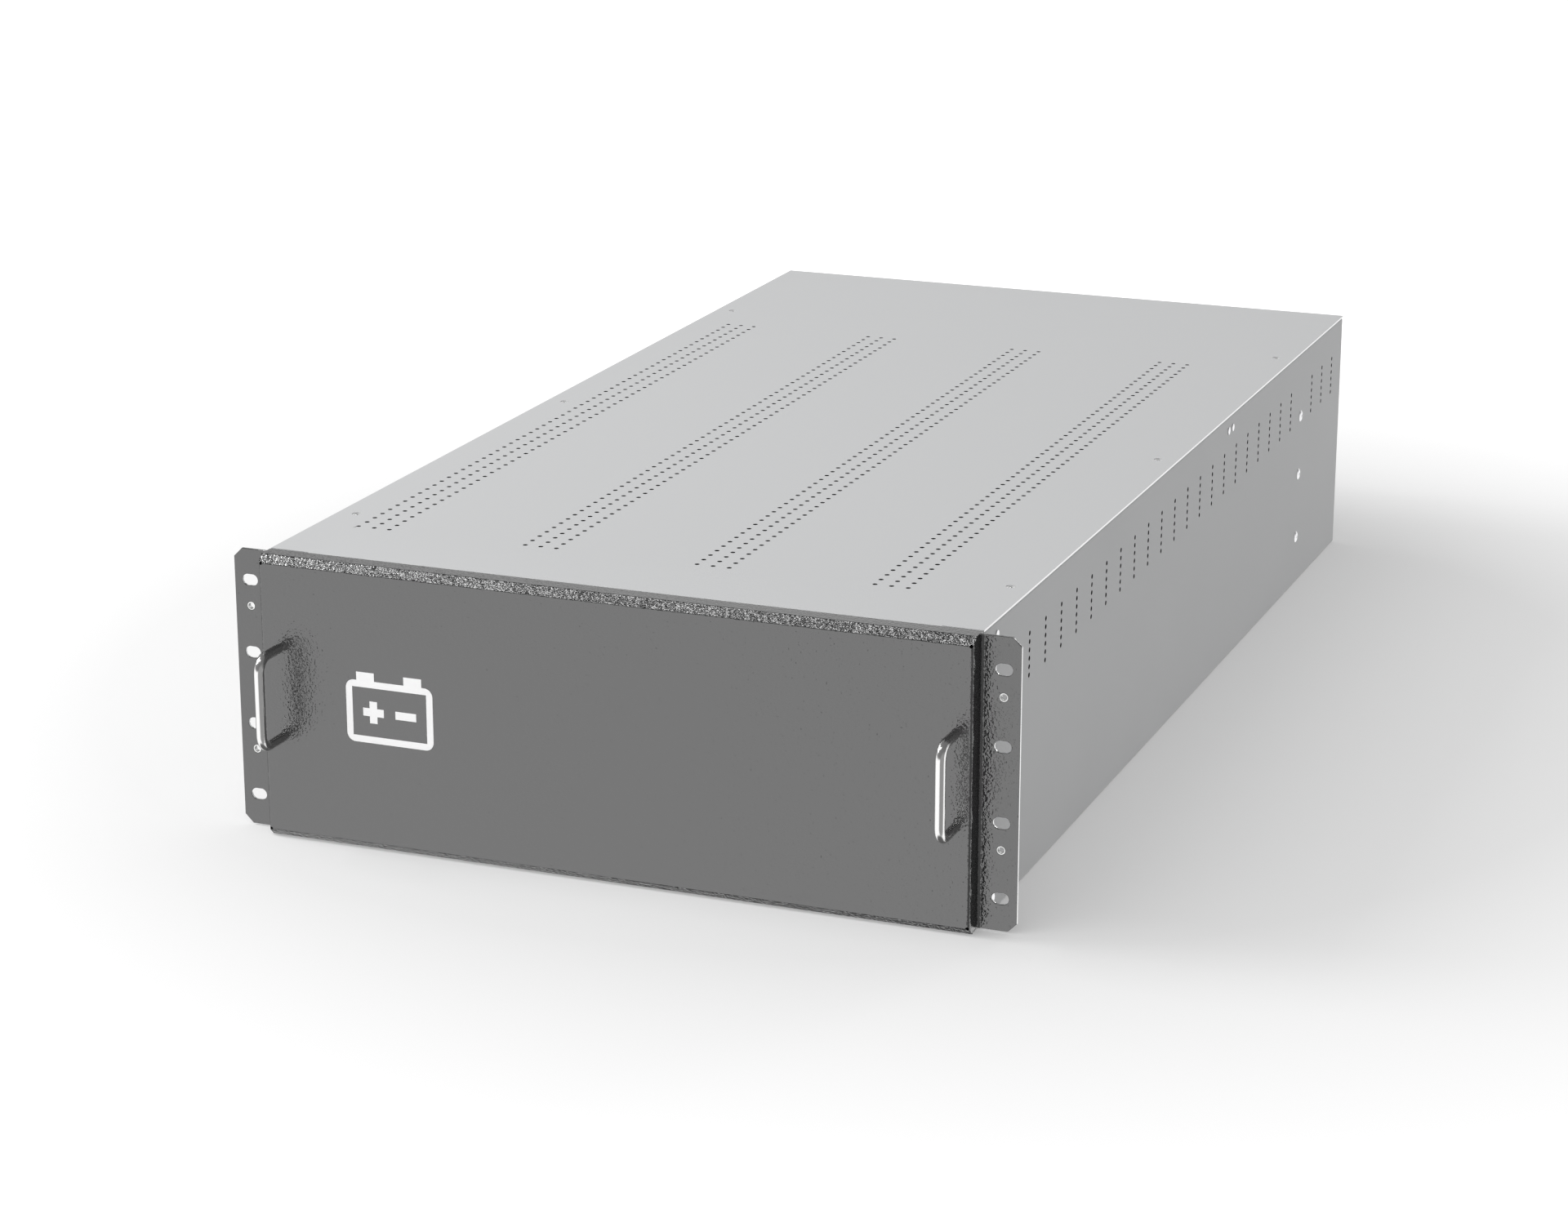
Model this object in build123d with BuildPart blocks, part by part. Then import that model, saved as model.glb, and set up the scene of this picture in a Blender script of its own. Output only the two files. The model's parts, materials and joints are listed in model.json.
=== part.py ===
from build123d import *
import os
from math import pi, sqrt, tan, radians

os.makedirs("parts", exist_ok=True)

# External battery module for a 19-inch rack, in millimetres.
# X is to the right seen from the front, Y runs rearwards and Z is up.
# The origin is under the middle of the whole module, on the surface that it stands on.

# Case
case_width = 438.8
case_height = 173.6
case_depth = 834.8
case_sheet = 1.2
case_fold = 0.6
seam = 0.3
rim_width = 24.2
cover_side_overhang = 0.2
cover_rear_overhang = 1.6
cover_front_gap = 2.2
cover_lip = 11.0
cover_corner_setback = 1.1

# Front panel, folded from one sheet with the rack ears
panel_sheet = 1.5
panel_standoff = 13.1
panel_bend = 2.0
panel_bevel = 4.8
corner_relief_radius = 1.0
ear_width = 23.1
ear_step = 1.1
ear_corner = 5.2

# Rack hole grid
rack_unit = 44.45
rack_hole_step = 15.875
slot_length = 10.0
slot_width = 7.0
slot_inset = 9.95
nut_neck_radius = 3.1
nut_thread_radius = 1.65
nut_collar_radius = 4.6
nut_collar_height = 1.6

# Handles
bar_diameter = 6.0
bar_sides = 16
bar_bend = 9.0
grip_height = 22.7
grip_spacing = 55.0
grip_rise = 3.1
handle_inset = 10.5
handle_screw_radius = 2.0
handle_screw_head_radius = 3.6
handle_screw_head_height = 2.6
handle_screw_grip = 9.0

# Vents
bay_count = 4
vent_diameter = 3.0
cover_vent_columns = 3
cover_vent_pitch = 10.0
cover_vent_row_pitch = 50.0
cover_vent_offset = 19.3
cover_vent_front = 63.1
cover_vent_rear_margin = 191.7
side_vent_pitch = 30.0
side_vent_front = 86.0
side_vent_rear_margin = 28.8
side_vent_row_pitch = 15.0
side_vent_rows = 2
side_vent_drop = 26.0

# Screws and rivets, whose round forms have six sides here
fastener_sides = 6
cover_screw_radius = 1.5
cover_screw_taper = 45.0
cover_screw_length = 8.0
cover_screw_inset = 12.1
cover_screw_front = 87.0
cover_screw_pitch = 300.0
rivet_head_radius = 4.0
rivet_head_height = 1.1
rivet_body_radius = 2.0
rivet_tail = 3.0
small_rivet_head_radius = 2.7
small_rivet_body_radius = 1.6
small_rivet_head_height = 0.8
small_rivet_tail = 1.0

# Inner sheet metal
bulkhead_setback = 119.3
bulkhead_flange = 22.0
bulkhead_rivet_heights = (125.8, 82.8, 35.8)
brace_front = 519.6
brace_width = 24.0
brace_height = 7.5
brace_tab = 10.0
brace_rivet_pitch = 10.2
brace_rivet_drop = 9.8
bracket_sheet = 1.5
bracket_face_width = 34.0
bracket_tail = 43.0
bracket_rivet_front = 26.7
bracket_rivet_drop = 8.0
inner_gap = 0.6

# Battery packs
tray_sheet = 1.0
tray_front = 44.0
tray_wall = 45.0
tray_front_wall = 60.0
tray_window_margin = 20.0
tray_gap = 0.6
block_thickness = 64.0
block_gap = 1.0
block_side_gap = 2.0
block_lead_in = 6.0
link_width = 12.0
link_inset = 12.0
link_thickness = 3.0
link_clearance = 5.9
clamp_sheet = 1.5
clamp_width = 30.0
clamp_foot = 14.0
clamp_rear_gap = 1.5
pack_headroom = 16.0

# Pack plugs and rear wiring bay
plug_width = 46.0
plug_height = 22.0
plug_flange = 4.0
plug_flange_thickness = 3.0
plug_front_reach = 14.0
plug_rear_reach = 18.0
plug_wall = 3.0
plug_rise = 85.0
busbar_height = 22.0
busbar_thickness = 3.0
busbar_corner = 4.0
busbar_side_inset = 46.0
busbar_drop = 34.0
insulator_radius = 9.0
insulator_length = 20.0
fuse_radius = 11.0
fuse_sides = 12
fuse_length = 58.0
fuse_cap_length = 14.0
fuse_cap_thickness = 0.8
fuse_base_height = 9.0
fuse_base_width = 30.0
fuse_base_margin = 10.0
fuse_clip_sheet = 2.0
fuse_clip_width = 12.0
fuse_axis_clearance = 4.0

# Rear panel
rear_flange = 14.0
socket_width = 62.0
socket_height = 30.0
socket_depth = 26.0
socket_rear_reach = 6.0
socket_flange = 6.0
socket_flange_thickness = 3.0
socket_wall = 3.0
socket_floor = 4.0
socket_contact_thickness = 3.0
socket_spacing = 110.0
socket_drop = 64.6
socket_side_inset = 93.2
socket_screw_radius = 1.5
socket_screw_head_radius = 2.8
socket_screw_head_height = 1.8
socket_screw_length = 8.0
stud_radius = 3.0
stud_inset = 60.0
stud_rise = 51.0
stud_inside = 6.0
stud_outside = 16.0
stud_nut_width = 10.0
stud_nut_height = 5.0

# Places along Y
front_reach = panel_standoff + grip_height + bar_diameter / 2
rear_reach = case_depth + stud_outside
ear_y = (front_reach - rear_reach) / 2
ear_back_y = ear_y + panel_sheet
face_y = ear_y - panel_standoff
face_back_y = face_y + panel_sheet
cover_front_y = ear_y + cover_front_gap
case_front_y = cover_front_y
case_rear_y = ear_y + case_depth
panel_flange_y = cover_front_y - seam
bulkhead_rivet_y = case_rear_y - bulkhead_setback
bulkhead_y = bulkhead_rivet_y - bulkhead_flange / 2

# Places along X
wall_x = case_width / 2
wall_inner_x = wall_x - case_sheet
panel_inner_x = wall_x - panel_sheet
ear_tip_x = wall_x + ear_width
slot_x = ear_tip_x - slot_inset
handle_x = wall_x - handle_inset
bay_pitch = 2 * wall_inner_x / bay_count
bay_centres = [(bay - (bay_count - 1) / 2) * bay_pitch for bay in range(bay_count)]

# Places along Z
mid_z = case_height / 2
rim_z = case_height - case_sheet
rim_under_z = rim_z - case_sheet
slot_rows = round(case_height / rack_unit)
slot_heights = [mid_z + (row - (slot_rows - 1) / 2) * rack_unit for row in range(slot_rows)]
nut_places = [(side * slot_x, height - rack_hole_step) for side in (-1, 1) for height in slot_heights[1::2]]
grip_z = mid_z + grip_rise
leg_heights = (grip_z - grip_spacing / 2, grip_z + grip_spacing / 2)
handle_leg_places = [(side * handle_x, z) for side in (-1, 1) for z in leg_heights]
vent_side = vent_diameter * sqrt(pi) / 2

# Places of the cover screws, in rows along both rims
cover_screw_x = wall_x - cover_screw_inset
cover_screw_rows = int((case_depth - cover_screw_front) // cover_screw_pitch) + 1
cover_screw_places = [
    (side * cover_screw_x, ear_y + cover_screw_front + row * cover_screw_pitch)
    for side in (-1, 1)
    for row in range(cover_screw_rows)
]

# Rivets in the side walls
brace_y = ear_y + brace_front
brace_rivet_z = rim_z - brace_rivet_drop
brace_rivet_places = [(brace_y + end * brace_rivet_pitch / 2, brace_rivet_z) for end in (-1, 1)]
bracket_rivet_y = ear_y + bracket_rivet_front
bracket_rivet_heights = (case_sheet + bracket_rivet_drop, rim_under_z - bracket_rivet_drop + case_sheet)
bracket_rivet_places = [(bracket_rivet_y, height) for height in bracket_rivet_heights]
bulkhead_rivet_places = [(bulkhead_rivet_y, height) for height in bulkhead_rivet_heights]

# Columns of side vents, with none where the bulkhead is riveted
side_vent_count = int((case_depth - side_vent_front - side_vent_rear_margin) // side_vent_pitch) + 1
side_vent_columns = [
    ear_y + side_vent_front + column * side_vent_pitch
    for column in range(side_vent_count)
    if abs(ear_y + side_vent_front + column * side_vent_pitch - bulkhead_rivet_y) > bulkhead_flange / 2
]
side_vent_z = rim_z - side_vent_drop - (side_vent_rows - 1) * side_vent_row_pitch / 2


# Chassis: one folded sheet, open at the front, the rear and between the top rims
chassis_length = case_rear_y - case_front_y
with BuildPart() as chassis:
    with BuildSketch(Plane.XZ.offset(-case_front_y)):
        with Locations((0, rim_z / 2)):
            RectangleRounded(case_width, rim_z, case_fold + case_sheet)
            RectangleRounded(
                case_width - 2 * case_sheet,
                rim_z - 2 * case_sheet,
                case_fold,
                mode=Mode.SUBTRACT,
            )
        with Locations((0, rim_z)):
            Rectangle(case_width - 2 * rim_width, 4 * case_sheet, mode=Mode.SUBTRACT)
    extrude(amount=-chassis_length)
    with BuildSketch(Plane.YZ.offset(-case_width)):
        for column in side_vent_columns:
            with Locations((column, side_vent_z)):
                with GridLocations(0, side_vent_row_pitch, 1, side_vent_rows):
                    Rectangle(vent_side, vent_side)
        with Locations(*bulkhead_rivet_places):
            RegularPolygon(rivet_body_radius, fastener_sides)
        with Locations(*brace_rivet_places, *bracket_rivet_places):
            RegularPolygon(small_rivet_body_radius, fastener_sides)
    extrude(amount=2 * case_width, mode=Mode.SUBTRACT)
    with BuildSketch(Plane.XY.offset(rim_z)):
        with Locations(*cover_screw_places):
            RegularPolygon(cover_screw_radius, fastener_sides)
    extrude(amount=-2 * case_sheet, mode=Mode.SUBTRACT)
chassis.part.label = "chassis"
export_step(chassis.part, "parts/chassis.step")


# Top cover: a flat sheet on the rims with a folded front lip and four vent fields
lip_half_width = wall_x - rim_width
cover_rear_y = case_rear_y + cover_rear_overhang
cover_sheet_front_y = cover_front_y + cover_corner_setback
vent_row_count = int((case_depth - cover_vent_front - cover_vent_rear_margin) // cover_vent_row_pitch) + 1
vent_field_length = (vent_row_count - 1) * cover_vent_row_pitch
vent_field_y = ear_y + cover_vent_front + vent_field_length / 2
with BuildPart() as top_cover:
    with BuildSketch(Plane.XY.offset(rim_z)):
        with Locations((0, (cover_sheet_front_y + cover_rear_y) / 2)):
            Rectangle(case_width + 2 * cover_side_overhang, cover_rear_y - cover_sheet_front_y)
    extrude(amount=case_sheet)
    with BuildSketch(Plane.YZ.offset(-lip_half_width)):
        with BuildLine():
            lip_outline = Polyline(
                (cover_sheet_front_y + cover_lip, case_height),
                (cover_front_y, case_height),
                (cover_front_y, case_height - cover_lip),
                (cover_front_y + case_sheet, case_height - cover_lip),
                (cover_front_y + case_sheet, rim_z),
                (cover_sheet_front_y + cover_lip, rim_z),
                close=True,
            )
        lip_section = make_face()
        fillet(lip_section.vertices().sort_by(Axis.Y)[-2:].sort_by(Axis.X)[0], case_fold + case_sheet)
    extrude(amount=2 * lip_half_width)
    with BuildSketch(Plane.XY.offset(case_height)):
        for bay_x in bay_centres:
            with Locations((bay_x - cover_vent_offset, vent_field_y)):
                with GridLocations(
                    cover_vent_pitch, cover_vent_row_pitch, cover_vent_columns, vent_row_count
                ):
                    Rectangle(vent_side, vent_side)
    extrude(amount=-case_sheet, mode=Mode.SUBTRACT)
    with BuildSketch(Plane.XY.offset(case_height)):
        with Locations(*cover_screw_places):
            RegularPolygon(cover_screw_radius + case_sheet, fastener_sides)
    extrude(amount=-case_sheet, taper=cover_screw_taper, mode=Mode.SUBTRACT)
top_cover.part.label = "top_cover"
export_step(top_cover.part, "parts/top_cover.step")


# Cover screws: countersunk heads flush with the cover
with BuildPart() as cover_screws:
    with BuildSketch(Plane.XY.offset(case_height)):
        with Locations(*cover_screw_places):
            RegularPolygon(cover_screw_radius + case_sheet, fastener_sides)
    extrude(amount=-case_sheet, taper=cover_screw_taper)
    with BuildSketch(Plane.XY.offset(rim_z)):
        with Locations(*cover_screw_places):
            RegularPolygon(cover_screw_radius, fastener_sides)
    extrude(amount=-(cover_screw_length - case_sheet))
cover_screws.part.label = "cover_screws"
export_step(cover_screws.part, "parts/cover_screws.step")


# Front panel: a shallow pan with bevelled top and bottom edges, whose sides turn out into the ears
pan_depth = panel_flange_y - face_y
bevel_inside = panel_bevel + panel_sheet * tan(radians(22.5))
ear_bend_centre_y = ear_y - panel_bend
ear_height = case_height - 2 * ear_step
with BuildPart() as front_panel:
    with BuildSketch(Plane.XY):
        with Locations((0, face_y + pan_depth / 2)):
            pan_plan = Rectangle(case_width, pan_depth)
        fillet(pan_plan.vertices().group_by(Axis.Y)[0], panel_bend)
    extrude(amount=case_height)
    with BuildSketch(Plane.YZ.offset(-wall_x)):
        with BuildLine():
            Polyline(
                (panel_flange_y, 0),
                (face_y + panel_bevel, 0),
                (face_y, panel_bevel),
                (face_y, case_height - panel_bevel),
                (face_y + panel_bevel, case_height),
                (panel_flange_y, case_height),
                close=True,
            )
        make_face()
    extrude(amount=case_width, mode=Mode.INTERSECT)
    with BuildSketch(Plane.YZ.offset(-panel_inner_x)):
        with BuildLine():
            Polyline(
                (panel_flange_y, panel_sheet),
                (face_y + bevel_inside, panel_sheet),
                (face_back_y, bevel_inside),
                (face_back_y, case_height - bevel_inside),
                (face_y + bevel_inside, case_height - panel_sheet),
                (panel_flange_y, case_height - panel_sheet),
                close=True,
            )
        make_face()
    extrude(amount=2 * panel_inner_x, mode=Mode.SUBTRACT)
    with BuildSketch(Plane.XY.offset(panel_sheet)):
        for side in (-1, 1):
            with Locations((side * (wall_x - panel_sheet / 2), (ear_bend_centre_y + panel_flange_y) / 2)):
                Rectangle(panel_sheet, panel_flange_y - ear_bend_centre_y)
    extrude(amount=case_height - 2 * panel_sheet, mode=Mode.SUBTRACT)
    for side in (-1, 1):
        with BuildSketch(Plane.XY.offset(ear_step)):
            with BuildLine():
                bend_front = RadiusArc(
                    (side * wall_x, ear_bend_centre_y),
                    (side * (wall_x + panel_bend), ear_y),
                    side * panel_bend,
                )
                Line(bend_front @ 1, (side * ear_tip_x, ear_y))
                Line((side * ear_tip_x, ear_y), (side * ear_tip_x, ear_back_y))
                Line((side * ear_tip_x, ear_back_y), (side * (wall_x + panel_bend), ear_back_y))
                bend_back = RadiusArc(
                    (side * (wall_x + panel_bend), ear_back_y),
                    (side * panel_inner_x, ear_bend_centre_y),
                    -side * (panel_bend + panel_sheet),
                )
                Line(bend_back @ 1, bend_front @ 0)
            make_face()
        extrude(amount=ear_height)
    upright_edges = front_panel.edges().filter_by(Axis.Y).group_by(Axis.X)
    chamfer(upright_edges[0] + upright_edges[-1], ear_corner)
    with BuildSketch(Plane.XZ.offset(-ear_y)):
        for side in (-1, 1):
            with Locations(*[(side * slot_x, height) for height in slot_heights]):
                SlotOverall(slot_length, slot_width)
        with Locations(*nut_places):
            RegularPolygon(nut_neck_radius, fastener_sides)
    extrude(amount=-panel_sheet, mode=Mode.SUBTRACT)
    with BuildSketch(Plane.XZ.offset(-face_y)):
        with GridLocations(2 * (wall_x - panel_bend), 0, 2, 1):
            with Locations((0, panel_bevel), (0, case_height - panel_bevel)):
                RegularPolygon(corner_relief_radius, fastener_sides)
        with Locations(*handle_leg_places):
            RegularPolygon(handle_screw_radius, fastener_sides)
    extrude(amount=-2 * panel_sheet, mode=Mode.SUBTRACT)
front_panel.part.label = "front_panel"
export_step(front_panel.part, "parts/front_panel.step")


# Clinch nuts: necks flush in the ears, collars behind them
with BuildPart() as clinch_nuts:
    with BuildSketch(Plane.XZ.offset(-ear_y)):
        with Locations(*nut_places):
            RegularPolygon(nut_neck_radius, fastener_sides)
    extrude(amount=-panel_sheet)
    with BuildSketch(Plane.XZ.offset(-ear_back_y)):
        with Locations(*nut_places):
            RegularPolygon(nut_collar_radius, fastener_sides)
    extrude(amount=-nut_collar_height)
    with BuildSketch(Plane.XZ.offset(-ear_y)):
        with Locations(*nut_places):
            Circle(nut_thread_radius)
    extrude(amount=-(panel_sheet + nut_collar_height), mode=Mode.SUBTRACT)
clinch_nuts.part.label = "clinch_nuts"
export_step(clinch_nuts.part, "parts/clinch_nuts.step")


# Handles: round bars bent twice, tapped at both ends
grip_y = face_y - grip_height
with BuildPart() as handles:
    for bar_x in (-handle_x, handle_x):
        with BuildLine():
            bar_line = FilletPolyline(
                (bar_x, face_y, leg_heights[0]),
                (bar_x, grip_y, leg_heights[0]),
                (bar_x, grip_y, leg_heights[1]),
                (bar_x, face_y, leg_heights[1]),
                radius=bar_bend,
            )
        with BuildSketch(Plane.XZ.offset(-face_y)):
            with Locations((bar_x, leg_heights[0])):
                RegularPolygon(bar_diameter / 2, bar_sides)
        sweep(path=bar_line)
    with BuildSketch(Plane.XZ.offset(-face_y)):
        with Locations(*handle_leg_places):
            RegularPolygon(handle_screw_radius, fastener_sides)
    extrude(amount=handle_screw_grip, mode=Mode.SUBTRACT)
handles.part.label = "handles"
export_step(handles.part, "parts/handles.step")


# Front brackets: angles inside the panel that carry the handle screws and join the side walls
bracket_face_low = bevel_inside + inner_gap
bracket_face_high = case_height - bracket_face_low
bracket_low = case_sheet + inner_gap
bracket_high = rim_under_z - inner_gap
bracket_outer_x = panel_inner_x
bracket_inner_x = bracket_outer_x - bracket_face_width
bracket_rear_y = ear_y + bracket_tail
for name, side in (("front_bracket_left", -1), ("front_bracket_right", 1)):
    with BuildPart() as bracket:
        with BuildSketch(Plane.XY.offset(bracket_face_low)):
            with BuildLine():
                Polyline(
                    (side * bracket_inner_x, face_back_y),
                    (side * bracket_outer_x, face_back_y),
                    (side * bracket_outer_x, bracket_rear_y),
                    (side * (bracket_outer_x - bracket_sheet), bracket_rear_y),
                    (side * (bracket_outer_x - bracket_sheet), face_back_y + bracket_sheet),
                    (side * bracket_inner_x, face_back_y + bracket_sheet),
                    close=True,
                )
            angle = make_face()
            front_corners = angle.vertices().group_by(Axis.Y)[0].sort_by(Axis.X)
            fillet(front_corners[-1] if side > 0 else front_corners[0], bracket_sheet)
        extrude(amount=bracket_face_high - bracket_face_low)
        with BuildSketch(Plane.YZ.offset(side * (bracket_outer_x - bracket_sheet / 2))):
            with Locations(((case_front_y + bracket_rear_y) / 2, (bracket_low + bracket_high) / 2)):
                Rectangle(bracket_rear_y - case_front_y, bracket_high - bracket_low)
        extrude(amount=bracket_sheet / 2, both=True)
        with BuildSketch(Plane.YZ.offset(side * (bracket_outer_x - bracket_sheet / 2))):
            with Locations(*bracket_rivet_places):
                RegularPolygon(small_rivet_body_radius, fastener_sides)
        extrude(amount=bracket_sheet, both=True, mode=Mode.SUBTRACT)
        with BuildSketch(Plane.XZ.offset(-face_back_y)):
            with Locations(*handle_leg_places):
                RegularPolygon(handle_screw_radius, fastener_sides)
        extrude(amount=-bracket_sheet, mode=Mode.SUBTRACT)
    bracket.part.label = name
    export_step(bracket.part, f"parts/{name}.step")


# Handle screws: heads behind the brackets, shanks in the tapped ends of the bars
bracket_back_y = face_back_y + bracket_sheet
with BuildPart() as handle_screws:
    with BuildSketch(Plane.XZ.offset(-bracket_back_y)):
        with Locations(*handle_leg_places):
            RegularPolygon(handle_screw_head_radius, fastener_sides)
    extrude(amount=-handle_screw_head_height)
    with BuildSketch(Plane.XZ.offset(-bracket_back_y)):
        with Locations(*handle_leg_places):
            RegularPolygon(handle_screw_radius, fastener_sides)
    extrude(amount=bracket_back_y - face_y + handle_screw_grip - seam)
handle_screws.part.label = "handle_screws"
export_step(handle_screws.part, "parts/handle_screws.step")


# Bulkhead: a cross wall with rearward flanges on the side walls and a cut-out for each pack's plug
plug_z = case_sheet + plug_rise
bulkhead_low = case_sheet + inner_gap
bulkhead_high = rim_under_z - inner_gap
with BuildPart() as bulkhead:
    with BuildSketch(Plane.XY.offset(bulkhead_low)):
        with Locations((0, bulkhead_y + bulkhead_flange / 2)):
            bulkhead_plan = Rectangle(2 * wall_inner_x, bulkhead_flange)
            fillet(bulkhead_plan.vertices().group_by(Axis.Y)[0], case_fold + case_sheet)
        with Locations((0, bulkhead_y + case_sheet + bulkhead_flange / 2)):
            Rectangle(2 * (wall_inner_x - case_sheet), bulkhead_flange, mode=Mode.SUBTRACT)
    extrude(amount=bulkhead_high - bulkhead_low)
    with BuildSketch(Plane.XZ.offset(-bulkhead_y)):
        with Locations(*[(bay_x, plug_z) for bay_x in bay_centres]):
            Rectangle(plug_width, plug_height)
    extrude(amount=-case_sheet, mode=Mode.SUBTRACT)
    with BuildSketch(Plane.YZ.offset(-case_width)):
        with Locations(*bulkhead_rivet_places):
            RegularPolygon(rivet_body_radius, fastener_sides)
    extrude(amount=2 * case_width, mode=Mode.SUBTRACT)
bulkhead.part.label = "bulkhead"
export_step(bulkhead.part, "parts/bulkhead.step")


# Cross brace: an inverted channel under the cover, its end tabs riveted to the side walls
brace_top = rim_under_z - inner_gap
brace_low = brace_top - brace_height
with BuildPart() as cross_brace:
    with BuildSketch(Plane.YZ.offset(-wall_inner_x)):
        with Locations((brace_y, (brace_low + brace_top) / 2)):
            Rectangle(brace_width, brace_height)
        with Locations((brace_y, brace_low + (brace_height - case_sheet) / 2)):
            Rectangle(brace_width - 2 * case_sheet, brace_height - case_sheet, mode=Mode.SUBTRACT)
    extrude(amount=2 * wall_inner_x)
    for side in (-1, 1):
        with BuildSketch(Plane.YZ.offset(side * (wall_inner_x - case_sheet / 2))):
            with Locations((brace_y, brace_top - (brace_height + brace_tab) / 2)):
                Rectangle(brace_width - 2 * case_sheet - 2 * seam, brace_height + brace_tab)
        extrude(amount=case_sheet / 2, both=True)
    with BuildSketch(Plane.YZ.offset(-case_width)):
        with Locations(*brace_rivet_places):
            RegularPolygon(small_rivet_body_radius, fastener_sides)
    extrude(amount=2 * case_width, mode=Mode.SUBTRACT)
cross_brace.part.label = "cross_brace"
export_step(cross_brace.part, "parts/cross_brace.step")


# Blind rivets through the side walls: a flat head outside and a short tail inside
for name, places, head_radius, head_height, body_radius, reach in (
    (
        "bulkhead_rivets",
        bulkhead_rivet_places,
        rivet_head_radius,
        rivet_head_height,
        rivet_body_radius,
        2 * case_sheet + rivet_tail,
    ),
    (
        "brace_rivets",
        brace_rivet_places,
        small_rivet_head_radius,
        small_rivet_head_height,
        small_rivet_body_radius,
        2 * case_sheet + small_rivet_tail,
    ),
    (
        "bracket_rivets",
        bracket_rivet_places,
        small_rivet_head_radius,
        small_rivet_head_height,
        small_rivet_body_radius,
        panel_sheet + bracket_sheet + small_rivet_tail,
    ),
):
    with BuildPart() as rivets:
        for side in (-1, 1):
            with BuildSketch(Plane.YZ.offset(side * wall_x)):
                with Locations(*places):
                    RegularPolygon(head_radius, fastener_sides)
            extrude(amount=side * head_height)
            with BuildSketch(Plane.YZ.offset(side * wall_x)):
                with Locations(*places):
                    RegularPolygon(body_radius, fastener_sides)
            extrude(amount=-side * reach)
    rivets.part.label = name
    export_step(rivets.part, f"parts/{name}.step")


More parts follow.
